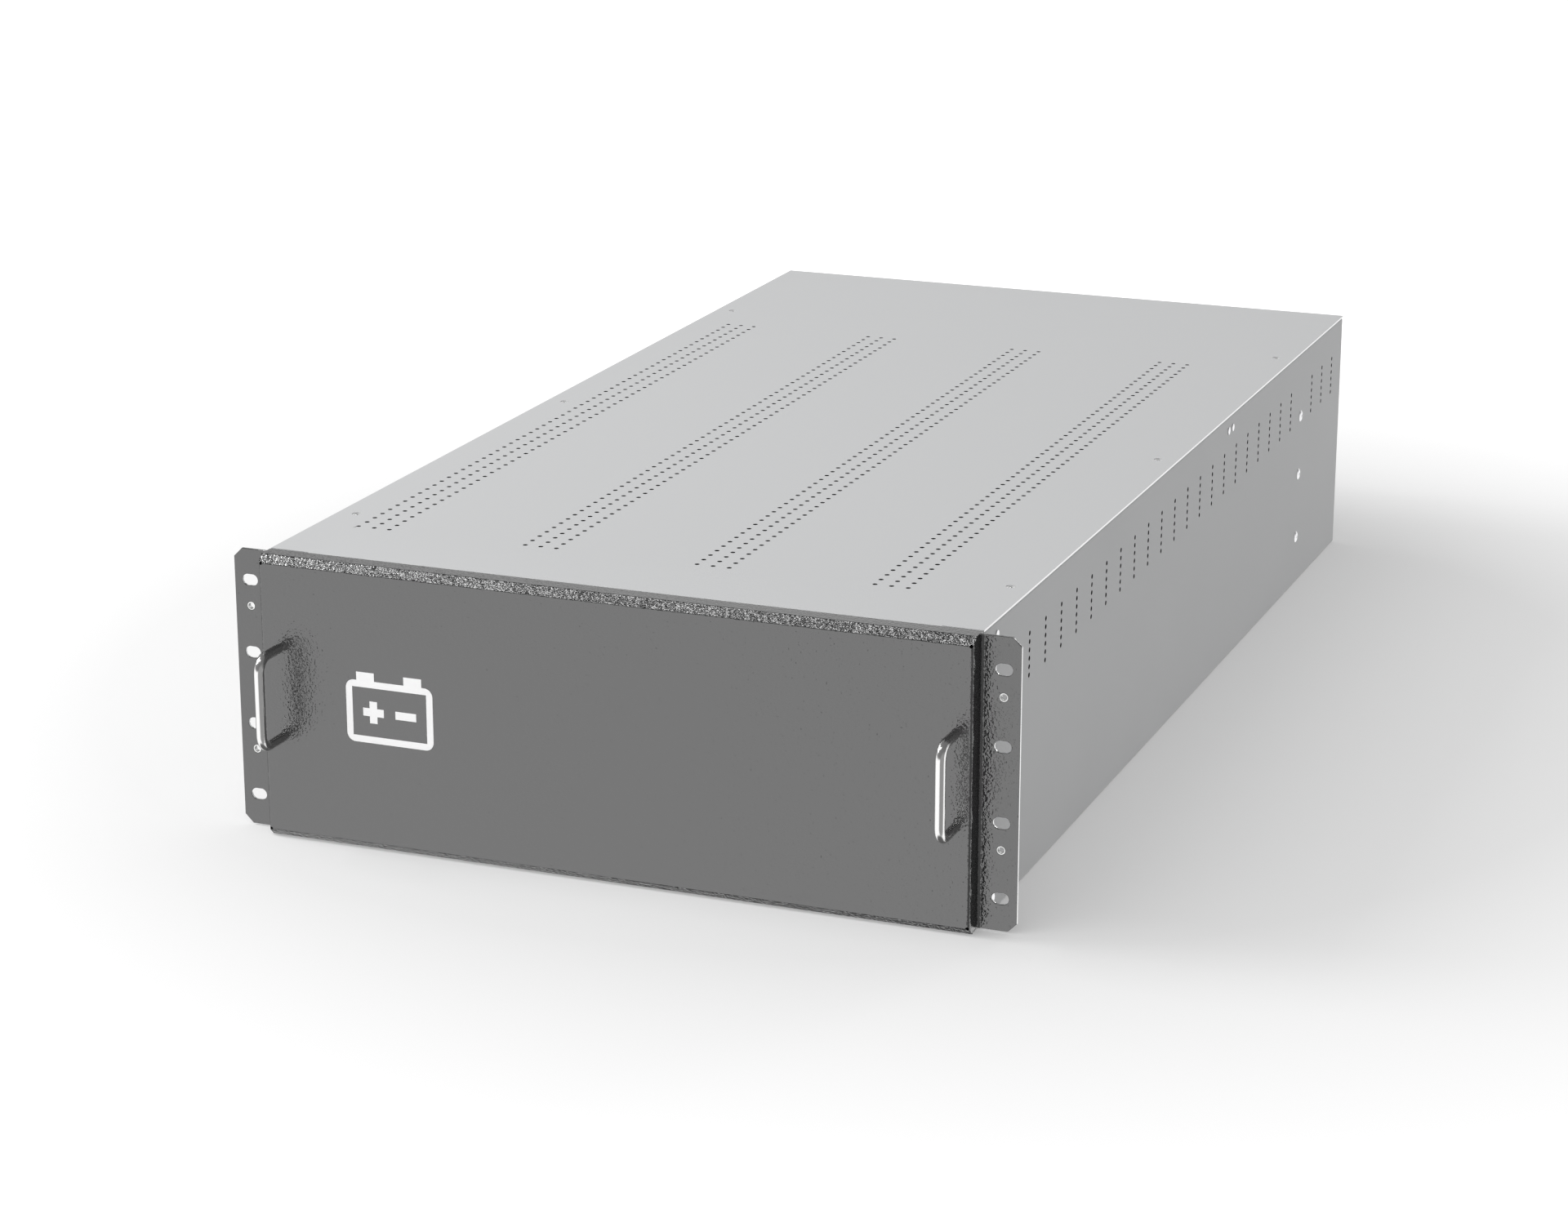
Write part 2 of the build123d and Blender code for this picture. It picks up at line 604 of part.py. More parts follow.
# Battery packs: a tray in each bay with a row of sealed blocks standing on end
tray_y = ear_y + tray_front
tray_rear_y = bulkhead_y - seam
tray_width = bay_pitch - 2 * tray_gap
tray_inner_width = tray_width - 2 * tray_sheet
tray_floor_z = case_sheet + tray_sheet
block_front_y = tray_y + tray_sheet + block_lead_in
block_pitch = block_thickness + block_gap
block_room = tray_rear_y - block_front_y - clamp_rear_gap - clamp_sheet - clamp_foot - plug_front_reach
block_count = int(block_room // block_pitch)
block_depth = tray_inner_width - block_side_gap - link_thickness - link_clearance
pack_top_z = rim_under_z - pack_headroom
block_height = pack_top_z - clamp_sheet - tray_floor_z
block_rear_y = block_front_y + block_count * block_pitch - block_gap
for pack, bay_x in enumerate(bay_centres, start=1):
    tray_left_x = bay_x - tray_width / 2
    block_left_x = tray_left_x + tray_sheet + block_side_gap
    link_x = block_left_x + block_depth
    with BuildPart() as battery_tray:
        with BuildSketch(Plane.XZ.offset(-tray_y)):
            with Locations((bay_x, case_sheet + tray_wall / 2)):
                tray_section = Rectangle(tray_width, tray_wall)
                chamfer(tray_section.vertices().group_by(Axis.Y)[0], tray_sheet)
            with Locations((bay_x, tray_floor_z + tray_wall / 2)):
                Rectangle(tray_inner_width, tray_wall, mode=Mode.SUBTRACT)
        extrude(amount=-(tray_rear_y - tray_y))
        with BuildSketch(Plane.XZ.offset(-tray_y)):
            with Locations((bay_x, tray_floor_z + tray_front_wall / 2)):
                Rectangle(tray_inner_width, tray_front_wall)
                Rectangle(
                    tray_inner_width - 2 * tray_window_margin,
                    tray_front_wall - 2 * tray_window_margin,
                    mode=Mode.SUBTRACT,
                )
        extrude(amount=-tray_sheet)
    battery_tray.part.label = f"battery_tray_{pack}"
    export_step(battery_tray.part, f"parts/battery_tray_{pack}.step")

    block_centres = [block_front_y + block_thickness / 2 + row * block_pitch for row in range(block_count)]
    link_heights = (tray_floor_z + link_inset, pack_top_z - clamp_sheet - link_inset)
    with BuildPart() as battery_blocks:
        with BuildSketch(Plane.XY.offset(tray_floor_z)):
            with Locations(*[(block_left_x + block_depth / 2, centre) for centre in block_centres]):
                Rectangle(block_depth, block_thickness)
        extrude(amount=block_height)
    battery_blocks.part.label = f"battery_blocks_{pack}"
    export_step(battery_blocks.part, f"parts/battery_blocks_{pack}.step")

    with BuildPart() as cell_links:
        with BuildSketch(Plane.YZ.offset(link_x)):
            for row in range(block_count - 1):
                joint_y = (block_centres[row] + block_centres[row + 1]) / 2
                with Locations((joint_y, link_heights[(row + 1) % 2])):
                    Rectangle(block_pitch - link_width, link_width)
        extrude(amount=link_thickness)
    cell_links.part.label = f"cell_links_{pack}"
    export_step(cell_links.part, f"parts/cell_links_{pack}.step")

    clamp_front_y = block_front_y - clamp_sheet
    clamp_rear_y = block_rear_y + clamp_sheet
    with BuildPart() as pack_clamp:
        with BuildSketch(Plane.YZ.offset(block_left_x + block_depth / 2)):
            with BuildLine():
                Polyline(
                    (clamp_front_y, tray_floor_z),
                    (clamp_front_y, pack_top_z),
                    (clamp_rear_y, pack_top_z),
                    (clamp_rear_y, tray_floor_z + clamp_sheet),
                    (clamp_rear_y + clamp_foot, tray_floor_z + clamp_sheet),
                    (clamp_rear_y + clamp_foot, tray_floor_z),
                    (block_rear_y, tray_floor_z),
                    (block_rear_y, pack_top_z - clamp_sheet),
                    (block_front_y, pack_top_z - clamp_sheet),
                    (block_front_y, tray_floor_z),
                    close=True,
                )
            make_face()
        extrude(amount=clamp_width / 2, both=True)
    pack_clamp.part.label = f"pack_clamp_{pack}"
    export_step(pack_clamp.part, f"parts/pack_clamp_{pack}.step")

    with BuildPart() as pack_plug:
        with BuildSketch(Plane.XZ.offset(-(bulkhead_y - plug_front_reach))):
            with Locations((bay_x, plug_z)):
                Rectangle(plug_width, plug_height)
        extrude(amount=-(plug_front_reach + case_sheet + plug_rear_reach))
        with BuildSketch(Plane.XZ.offset(-(bulkhead_y - plug_flange_thickness))):
            with Locations((bay_x, plug_z)):
                Rectangle(plug_width + 2 * plug_flange, plug_height + 2 * plug_flange)
        extrude(amount=-plug_flange_thickness)
        with BuildSketch(Plane.XZ.offset(-(bulkhead_y + case_sheet + plug_rear_reach))):
            with Locations((bay_x, plug_z)):
                with GridLocations(plug_width / 2, 0, 2, 1):
                    Rectangle(plug_width / 2 - 2 * plug_wall, plug_height - 2 * plug_wall)
        extrude(amount=plug_rear_reach, mode=Mode.SUBTRACT)
    pack_plug.part.label = f"pack_plug_{pack}"
    export_step(pack_plug.part, f"parts/pack_plug_{pack}.step")


# Busbars on insulators behind the bulkhead, one above and one below the plugs
bulkhead_back_y = bulkhead_y + case_sheet
busbar_y = bulkhead_back_y + insulator_length
busbar_length = 2 * (wall_inner_x - busbar_side_inset)
busbar_levels = {"busbar_positive": rim_under_z - busbar_drop, "busbar_negative": case_sheet + busbar_drop}
insulator_x = busbar_length / 2 - busbar_height
for name, level in busbar_levels.items():
    with BuildPart() as busbar:
        with BuildSketch(Plane.XZ.offset(-busbar_y)):
            with Locations((0, level)):
                Rectangle(busbar_length, busbar_height)
        extrude(amount=-busbar_thickness)
        chamfer(busbar.edges().filter_by(Axis.Y), busbar_corner)
    busbar.part.label = name
    export_step(busbar.part, f"parts/{name}.step")

with BuildPart() as busbar_insulators:
    with BuildSketch(Plane.XZ.offset(-bulkhead_back_y)):
        for level in busbar_levels.values():
            with Locations((-insulator_x, level), (insulator_x, level)):
                RegularPolygon(insulator_radius, 6)
    extrude(amount=-insulator_length)
busbar_insulators.part.label = "busbar_insulators"
export_step(busbar_insulators.part, "parts/busbar_insulators.step")


# Fuse holder on the floor of the wiring bay, with the fuse lying in its two clips
fuse_y = (busbar_y + busbar_thickness + case_rear_y) / 2
fuse_base_top = case_sheet + fuse_base_height
fuse_axis_z = fuse_base_top + fuse_radius + fuse_axis_clearance
fuse_clip_x = fuse_length / 2 - fuse_cap_length / 2
with BuildPart() as fuse_holder:
    with BuildSketch(Plane.XY.offset(case_sheet)):
        with Locations((0, fuse_y)):
            Rectangle(fuse_length + 2 * fuse_base_margin, fuse_base_width)
    extrude(amount=fuse_base_height)
    for clip_x in (-fuse_clip_x, fuse_clip_x):
        with BuildSketch(Plane.YZ.offset(clip_x)):
            with Locations((fuse_y, (fuse_base_top + fuse_axis_z) / 2)):
                Rectangle(2 * (fuse_radius + fuse_clip_sheet), fuse_axis_z - fuse_base_top)
            with Locations((fuse_y, fuse_axis_z)):
                RegularPolygon(fuse_radius, fuse_sides, mode=Mode.SUBTRACT)
        extrude(amount=fuse_clip_width / 2, both=True)
fuse_holder.part.label = "fuse_holder"
export_step(fuse_holder.part, "parts/fuse_holder.step")

with BuildPart() as fuse:
    with BuildSketch(Plane.YZ.offset(-fuse_length / 2)):
        with Locations((fuse_y, fuse_axis_z)):
            RegularPolygon(fuse_radius, fuse_sides)
    extrude(amount=fuse_length)
    with BuildSketch(Plane.YZ.offset(-(fuse_length / 2 - fuse_cap_length))):
        with Locations((fuse_y, fuse_axis_z)):
            RegularPolygon(fuse_radius, fuse_sides)
            RegularPolygon(fuse_radius - fuse_cap_thickness, fuse_sides, mode=Mode.SUBTRACT)
    extrude(amount=fuse_length - 2 * fuse_cap_length, mode=Mode.SUBTRACT)
fuse.part.label = "fuse"
export_step(fuse.part, "parts/fuse.step")


# Rear panel: a shallow pan between the side walls, flush with their rear edges
rear_width = 2 * wall_inner_x
rear_low = case_sheet
rear_high = rim_under_z
rear_inside_y = case_rear_y - case_sheet
rear_notch = 2 * case_sheet
socket_z = rim_under_z - socket_drop
socket_out_x = wall_inner_x - socket_side_inset
socket_centres = {
    "dc_socket_in": socket_out_x - socket_spacing,
    "dc_socket_out": socket_out_x,
}
socket_screw_x = socket_width / 2 + socket_flange / 2
stud_x = -(wall_inner_x - stud_inset)
stud_z = case_sheet + stud_rise
with BuildPart() as rear_panel:
    across = Plane(
        origin=(-rear_width / 2 + rear_notch, 0, (rear_low + rear_high) / 2),
        x_dir=(0, 0, -1),
        z_dir=(1, 0, 0),
    )
    for plane, width, length in (
        (Plane.XY.offset(rear_low + rear_notch), rear_width, rear_high - rear_low - 2 * rear_notch),
        (across, rear_high - rear_low, rear_width - 2 * rear_notch),
    ):
        with BuildSketch(plane):
            with Locations((0, case_rear_y - rear_flange / 2)):
                channel = Rectangle(width, rear_flange)
                fillet(channel.vertices().group_by(Axis.Y)[-1], case_fold + case_sheet)
            with Locations((0, rear_inside_y - rear_flange / 2)):
                Rectangle(width - 2 * case_sheet, rear_flange, mode=Mode.SUBTRACT)
        extrude(amount=length)
    with BuildSketch(Plane.XZ.offset(-case_rear_y)):
        for centre in socket_centres.values():
            with Locations((centre, socket_z)):
                Rectangle(socket_width, socket_height)
            with Locations((centre - socket_screw_x, socket_z), (centre + socket_screw_x, socket_z)):
                RegularPolygon(socket_screw_radius, fastener_sides)
        with Locations((stud_x, stud_z)):
            RegularPolygon(stud_radius, fastener_sides)
    extrude(amount=case_sheet, mode=Mode.SUBTRACT)
rear_panel.part.label = "rear_panel"
export_step(rear_panel.part, "parts/rear_panel.step")


# Direct-current sockets: flanged housings with two open wells and a contact blade in each
well_width = socket_width / 2 - 2 * socket_wall
well_height = socket_height - 2 * socket_wall
for name, centre in socket_centres.items():
    with BuildPart() as socket:
        with BuildSketch(Plane.XZ.offset(-(case_rear_y + socket_rear_reach))):
            with Locations((centre, socket_z)):
                Rectangle(socket_width, socket_height)
        extrude(amount=socket_depth + socket_rear_reach)
        with BuildSketch(Plane.XZ.offset(-case_rear_y)):
            with Locations((centre, socket_z)):
                Rectangle(socket_width + 2 * socket_flange, socket_height)
        extrude(amount=-socket_flange_thickness)
        with BuildSketch(Plane.XZ.offset(-(case_rear_y + socket_rear_reach))):
            with Locations((centre, socket_z)):
                with GridLocations(socket_width / 2, 0, 2, 1):
                    Rectangle(well_width, well_height)
        extrude(amount=socket_depth + socket_rear_reach - socket_floor, mode=Mode.SUBTRACT)
        with BuildSketch(Plane.XZ.offset(-(case_rear_y - socket_depth + socket_floor))):
            with Locations((centre, socket_z + well_height / 2 - socket_contact_thickness / 2)):
                with GridLocations(socket_width / 2, 0, 2, 1):
                    Rectangle(well_width / 2, socket_contact_thickness)
        extrude(amount=-(socket_depth - socket_floor))
        with BuildSketch(Plane.XZ.offset(-(case_rear_y + socket_flange_thickness))):
            with Locations((centre - socket_screw_x, socket_z), (centre + socket_screw_x, socket_z)):
                RegularPolygon(socket_screw_radius, fastener_sides)
        extrude(amount=socket_flange_thickness, mode=Mode.SUBTRACT)
    socket.part.label = name
    export_step(socket.part, f"parts/{name}.step")

with BuildPart() as socket_screws:
    for centre in socket_centres.values():
        with BuildSketch(Plane.XZ.offset(-(case_rear_y + socket_flange_thickness))):
            with Locations((centre - socket_screw_x, socket_z), (centre + socket_screw_x, socket_z)):
                RegularPolygon(socket_screw_head_radius, fastener_sides)
        extrude(amount=-socket_screw_head_height)
        with BuildSketch(Plane.XZ.offset(-(case_rear_y + socket_flange_thickness))):
            with Locations((centre - socket_screw_x, socket_z), (centre + socket_screw_x, socket_z)):
                RegularPolygon(socket_screw_radius, fastener_sides)
        extrude(amount=socket_screw_length)
socket_screws.part.label = "socket_screws"
export_step(socket_screws.part, "parts/socket_screws.step")


# Ground stud through the rear panel, with its nut
with BuildPart() as ground_stud:
    with BuildSketch(Plane.XZ.offset(-(rear_inside_y - stud_inside))):
        with Locations((stud_x, stud_z)):
            RegularPolygon(stud_nut_width / 2, fastener_sides, major_radius=False)
    extrude(amount=-stud_inside)
    with BuildSketch(Plane.XZ.offset(-rear_inside_y)):
        with Locations((stud_x, stud_z)):
            RegularPolygon(stud_radius, fastener_sides)
    extrude(amount=-(case_sheet + stud_nut_height))
    with BuildSketch(Plane.XZ.offset(-(case_rear_y + stud_nut_height))):
        with Locations((stud_x, stud_z)):
            Circle(stud_radius)
    extrude(amount=-(stud_outside - stud_nut_height))
ground_stud.part.label = "ground_stud"
export_step(ground_stud.part, "parts/ground_stud.step")

with BuildPart() as ground_nut:
    with BuildSketch(Plane.XZ.offset(-case_rear_y)):
        with Locations((stud_x, stud_z)):
            RegularPolygon(stud_nut_width / 2, fastener_sides, major_radius=False)
            RegularPolygon(stud_radius, fastener_sides, mode=Mode.SUBTRACT)
    extrude(amount=-stud_nut_height)
ground_nut.part.label = "ground_nut"
export_step(ground_nut.part, "parts/ground_nut.step")
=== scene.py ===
"""External battery module for a 19-inch rack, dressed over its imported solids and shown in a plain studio."""
import json
import logging
from collections.abc import Callable, Iterable, Sequence
from dataclasses import dataclass, field
from enum import Enum
from math import atan2, cos, floor, pi, radians, sin, sqrt

import bmesh
import bpy
from mathutils import Matrix, Vector


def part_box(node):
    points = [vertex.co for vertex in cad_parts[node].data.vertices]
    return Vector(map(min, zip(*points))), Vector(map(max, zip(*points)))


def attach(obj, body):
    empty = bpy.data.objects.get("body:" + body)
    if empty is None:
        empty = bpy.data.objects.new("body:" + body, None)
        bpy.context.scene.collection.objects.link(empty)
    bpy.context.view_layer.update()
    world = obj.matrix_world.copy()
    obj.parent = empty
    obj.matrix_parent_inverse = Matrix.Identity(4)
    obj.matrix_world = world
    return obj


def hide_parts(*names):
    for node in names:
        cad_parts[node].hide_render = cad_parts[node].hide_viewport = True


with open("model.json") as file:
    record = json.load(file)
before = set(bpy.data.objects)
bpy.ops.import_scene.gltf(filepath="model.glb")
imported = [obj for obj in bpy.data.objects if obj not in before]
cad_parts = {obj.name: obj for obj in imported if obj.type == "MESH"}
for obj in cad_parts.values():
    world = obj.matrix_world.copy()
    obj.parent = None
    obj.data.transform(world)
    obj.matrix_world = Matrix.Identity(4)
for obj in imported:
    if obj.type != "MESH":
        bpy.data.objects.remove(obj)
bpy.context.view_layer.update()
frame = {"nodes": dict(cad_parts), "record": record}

MM = 0.001
RGB = tuple[float, float, float]
Test = Callable[[Vector], bool]
Outline = Sequence[tuple[float, float]]
ON_PLANE = 1e-7
SAME = 1e-6
CLOSE = 1e-5
SHARP_ANGLE = 32.0
NOISE_MIDDLE = 0.5
FORWARD = Vector((0.0, -1.0, 0.0))
log = logging.getLogger("battery_module")


class Side(Enum):
    """The two sides of the module, seen from the front."""

    LEFT = -1
    RIGHT = 1


class Along(Enum):
    """The frame's three directions."""

    X = (1.0, 0.0, 0.0)
    Y = (0.0, 1.0, 0.0)
    Z = (0.0, 0.0, 1.0)

    @property
    def vector(self) -> Vector:
        """The direction as a vector."""
        return Vector(self.value)

    def by(self, distance: float) -> Vector:
        """A move of that distance along the direction."""
        return Vector(self.value) * distance


# Shader graphs


@dataclass
class Wire:
    """A shader socket that takes part in plain arithmetic on values."""

    graph: "Graph"
    socket: bpy.types.NodeSocket

    def _math(self, operation: str, first: "Wire | float", second: "Wire | float") -> "Wire":
        """Adds a Math node of that operation."""
        return self.graph.node("ShaderNodeMath", {"operation": operation}, {0: first, 1: second})

    def __add__(self, other: "Wire | float") -> "Wire":
        """Sum."""
        return self._math("ADD", self, other)

    def __radd__(self, other: float) -> "Wire":
        """Sum, reflected."""
        return self._math("ADD", other, self)

    def __sub__(self, other: "Wire | float") -> "Wire":
        """Difference."""
        return self._math("SUBTRACT", self, other)

    def __rsub__(self, other: float) -> "Wire":
        """Difference, reflected."""
        return self._math("SUBTRACT", other, self)

    def __mul__(self, other: "Wire | float") -> "Wire":
        """Product."""
        return self._math("MULTIPLY", self, other)

    def __rmul__(self, other: float) -> "Wire":
        """Product, reflected."""
        return self._math("MULTIPLY", other, self)

    def __or__(self, other: "Wire | float") -> "Wire":
        """The larger of the two."""
        return self._math("MAXIMUM", self, other)


class Graph:
    """Builds the nodes of one material or world."""

    def __init__(self, tree: bpy.types.NodeTree) -> None:
        """Empties the tree.

        Args:
            tree: the node tree to fill.
        """
        self.tree = tree
        tree.nodes.clear()

    def node(
        self,
        kind: str,
        settings: dict[str, object] | None = None,
        sockets: dict[str | int, object] | None = None,
        out: str | int = 0,
    ) -> Wire:
        """Adds one node.

        Args:
            kind: the node's type.
            settings: what is set on the node first.
            sockets: values or wires of its inputs, by name or number.
            out: the output that is returned.

        Returns:
            The chosen output.
        """
        made = self.tree.nodes.new(kind)
        for key, value in (settings or {}).items():
            setattr(made, key, value)
        for key, value in (sockets or {}).items():
            if isinstance(value, Wire):
                self.tree.links.new(value.socket, made.inputs[key])
            else:
                made.inputs[key].default_value = value
        return Wire(self, made.outputs[out]) if made.outputs else Wire(self, None)

    def place(self, stretch: RGB = (1.0, 1.0, 1.0)) -> Wire:
        """Object coordinates.

        Args:
            stretch: how much finer a pattern is along each direction.

        Returns:
            The scaled coordinates.
        """
        coordinates = self.node("ShaderNodeTexCoord", out="Object")
        return self.node("ShaderNodeMapping", {}, {"Vector": coordinates, "Scale": stretch})

    def noise(self, size: float, detail: float = 2.0, stretch: RGB = (1.0, 1.0, 1.0)) -> Wire:
        """Noise whose features are about that size in metres."""
        sockets = {"Vector": self.place(stretch), "Scale": 1.0 / size, "Detail": detail}
        return self.node("ShaderNodeTexNoise", {}, sockets, "Fac")

    def tint(self, amount: Wire, low: Wire | RGB, high: Wire | RGB) -> Wire:
        """Mixes two colours.

        Args:
            amount: how much of the second there is.
            low: the first colour.
            high: the second colour.

        Returns:
            The mixed colour.
        """
        settings = {"data_type": "RGBA", "clamp_factor": True}
        first, second = (end if isinstance(end, Wire) else (*end, 1.0) for end in (low, high))
        return self.node("ShaderNodeMix", settings, {0: amount, 6: first, 7: second}, 2)

    def dot(self, direction: Wire, aim: Vector) -> Wire:
        """How nearly a direction is that of the aim."""
        sockets = {0: direction, 1: aim}
        return self.node("ShaderNodeVectorMath", {"operation": "DOT_PRODUCT"}, sockets, "Value")

    def spread(self, value: Wire, span: tuple[float, float], ends: tuple[float, float]) -> Wire:
        """Carries a value from a span over to a range between two ends.

        Args:
            value: the value.
            span: where the range starts and ends.
            ends: the range.

        Returns:
            The value in the range.
        """
        limits = dict(zip(("From Min", "From Max", "To Min", "To Max"), (*span, *ends)))
        return self.node("ShaderNodeMapRange", {}, {"Value": value, **limits})

    def ray(self, kind: str) -> Wire:
        """Is 1 for a Camera, Glossy or Transmission ray."""
        return self.node("ShaderNodeLightPath", out=f"Is {kind} Ray")

    def seen(self) -> Wire:
        """Is 1 for what the camera sees, straight, mirrored or through glass."""
        return self.ray("Camera") | self.ray("Glossy") | self.ray("Transmission")

    def relief(self, height: Wire, depth: float) -> Wire:
        """A bump of that depth in metres."""
        sockets = {"Height": height, "Distance": depth, "Strength": 1.0}
        return self.node("ShaderNodeBump", {}, sockets, "Normal")


def shade(colour: RGB, factor: float) -> RGB:
    """The colour made lighter or darker by a factor."""
    return tuple(min(1.0, channel * factor) for channel in colour)


@dataclass(frozen=True)
class Mark:
    """Faces of a sheet that look otherwise than its coat, by an attribute that the mesh carries."""

    attribute: str
    colour: RGB
    metallic: float = 0.0


BARE_EDGE = Mark("bare_edge", (0.86, 0.86, 0.86), 1.0)
# The vent holes' walls are coloured near-black: a painted shade inside the holes, where the lit walls would
# show grey.
VENT_WALL_PAINTED_SHADE = Mark("vent_wall", (0.03, 0.03, 0.03))


@dataclass(frozen=True)
class Finish:
    """A surface: its colour, gloss and fine relief.

    The grain is a rounded relief all over, and the mottle a slow change of colour and gloss.
    """

    name: str
    slot: str
    colour: RGB
    roughness: float
    metallic: float = 0.0
    index: float = 1.5
    grain_size: float = 0.8 * MM
    grain_depth: float = 0.0
    grain_octaves: float = 3.0
    grain_stretch: RGB = (1.0, 1.0, 1.0)
    mottle: float = 0.04
    mottle_size: float = 60.0 * MM
    gloss_spread: float = 0.05
    slow_share: float = 0.6
    marks: tuple[Mark, ...] = ()

    def make(self) -> bpy.types.Material:
        """Builds the material.

        Returns:
            The material of this finish.
        """
        made = bpy.data.materials.get(self.name)
        if made is not None:
            return made
        made = bpy.data.materials.new(self.name)
        made.use_nodes = True
        graph = Graph(made.node_tree)
        slow = graph.noise(self.mottle_size)
        fine = graph.noise(self.grain_size, self.grain_octaves, self.grain_stretch)
        low, high = shade(self.colour, 1.0 - self.mottle), shade(self.colour, 1.0 + self.mottle)
        colour = graph.tint(slow * self.slow_share + fine * (1.0 - self.slow_share), low, high)
        metallic: Wire | float = self.metallic
        # Each mark tints its faces: bare metal on cut edges, a painted shade on vent walls.
        for mark in self.marks:
            marked = graph.node("ShaderNodeAttribute", {"attribute_name": mark.attribute}, out="Fac")
            colour = graph.tint(marked, colour, mark.colour)
            if mark.metallic:
                metallic = marked * mark.metallic | metallic
        rough = self.roughness + (fine - NOISE_MIDDLE) * self.gloss_spread
        sockets: dict[str | int, object] = {
            "Base Color": colour,
            "Roughness": rough + (slow - NOISE_MIDDLE) * self.gloss_spread,
            "Metallic": metallic,
            "IOR": self.index,
        }
        if self.grain_depth:
            sockets["Normal"] = graph.relief(fine, self.grain_depth)
        surface = graph.node("ShaderNodeBsdfPrincipled", {}, sockets)
        graph.node("ShaderNodeOutputMaterial", {}, {"Surface": surface})
        return made


PANEL_PAINT = Finish(
    "panel_powder_coat", "panel_paint", (0.012, 0.012, 0.0125), 0.10,
    index=2.3, grain_size=1.5 * MM, grain_depth=0.38 * MM, grain_octaves=1.0,
    mottle=0.03, marks=(BARE_EDGE,),
)
# The case's and the cover's coats carry bare metal cut edges and a painted shade on their vent walls.
CASE_PAINT = Finish(
    "case_coat", "case_steel", (0.47, 0.475, 0.48), 0.45,
    grain_size=1.5 * MM, mottle=0.015, marks=(BARE_EDGE, VENT_WALL_PAINTED_SHADE),
)
COVER_PAINT = Finish(
    "cover_coat", "cover_steel", (0.50, 0.505, 0.51), 0.42,
    grain_size=1.5 * MM, mottle=0.015, marks=(BARE_EDGE, VENT_WALL_PAINTED_SHADE),
)
POLISHED = Finish("polished_bar", "handle_steel", (0.90, 0.895, 0.89), 0.20, metallic=1.0)
ZINC = Finish(
    "bright_zinc", "zinc_fasteners", (0.88, 0.885, 0.88), 0.28,
    metallic=1.0, mottle=0.06, mottle_size=4.0 * MM,
)
RIVET = Finish(
    "bright_aluminium", "rivet_aluminium", (0.86, 0.86, 0.87), 0.30,
    metallic=1.0, mottle_size=3.0 * MM,
)
GALVANISED = Finish(
    "galvanised_sheet", "inner_steel", (0.50, 0.51, 0.52), 0.38,
    metallic=1.0, grain_size=6.0 * MM, mottle=0.18, mottle_size=14.0 * MM, gloss_spread=0.20,
)
COPPER = Finish(
    "drawn_copper", "copper", (0.80, 0.42, 0.22), 0.30,
    metallic=1.0, grain_depth=0.01 * MM, grain_stretch=(0.05, 1.0, 1.0), mottle=0.12,
)
SOCKET_PLASTIC = Finish(
    "moulded_black", "socket_plastic", (0.022, 0.022, 0.024), 0.45,
    grain_size=0.35 * MM, grain_depth=0.02 * MM, mottle=0.10,
)
INSULATOR = Finish("moulded_red", "insulator_plastic", (0.24, 0.045, 0.03), 0.42, grain_depth=0.01 * MM)
FUSE_BODY = Finish("fuse_ceramic", "fuse_body", (0.72, 0.70, 0.65), 0.25, mottle=0.06, mottle_size=10 * MM)
BLOCK_PLASTIC = Finish(
    "battery_case", "battery_plastic", (0.03, 0.03, 0.033), 0.48,
    grain_size=0.5 * MM, grain_depth=0.03 * MM, mottle=0.10,
)
PRINT_WHITE = Finish(
    "white_print", "panel_paint", (0.93, 0.93, 0.93), 0.50,
    grain_depth=0.02 * MM, mottle=0.02,
)


# Mesh work


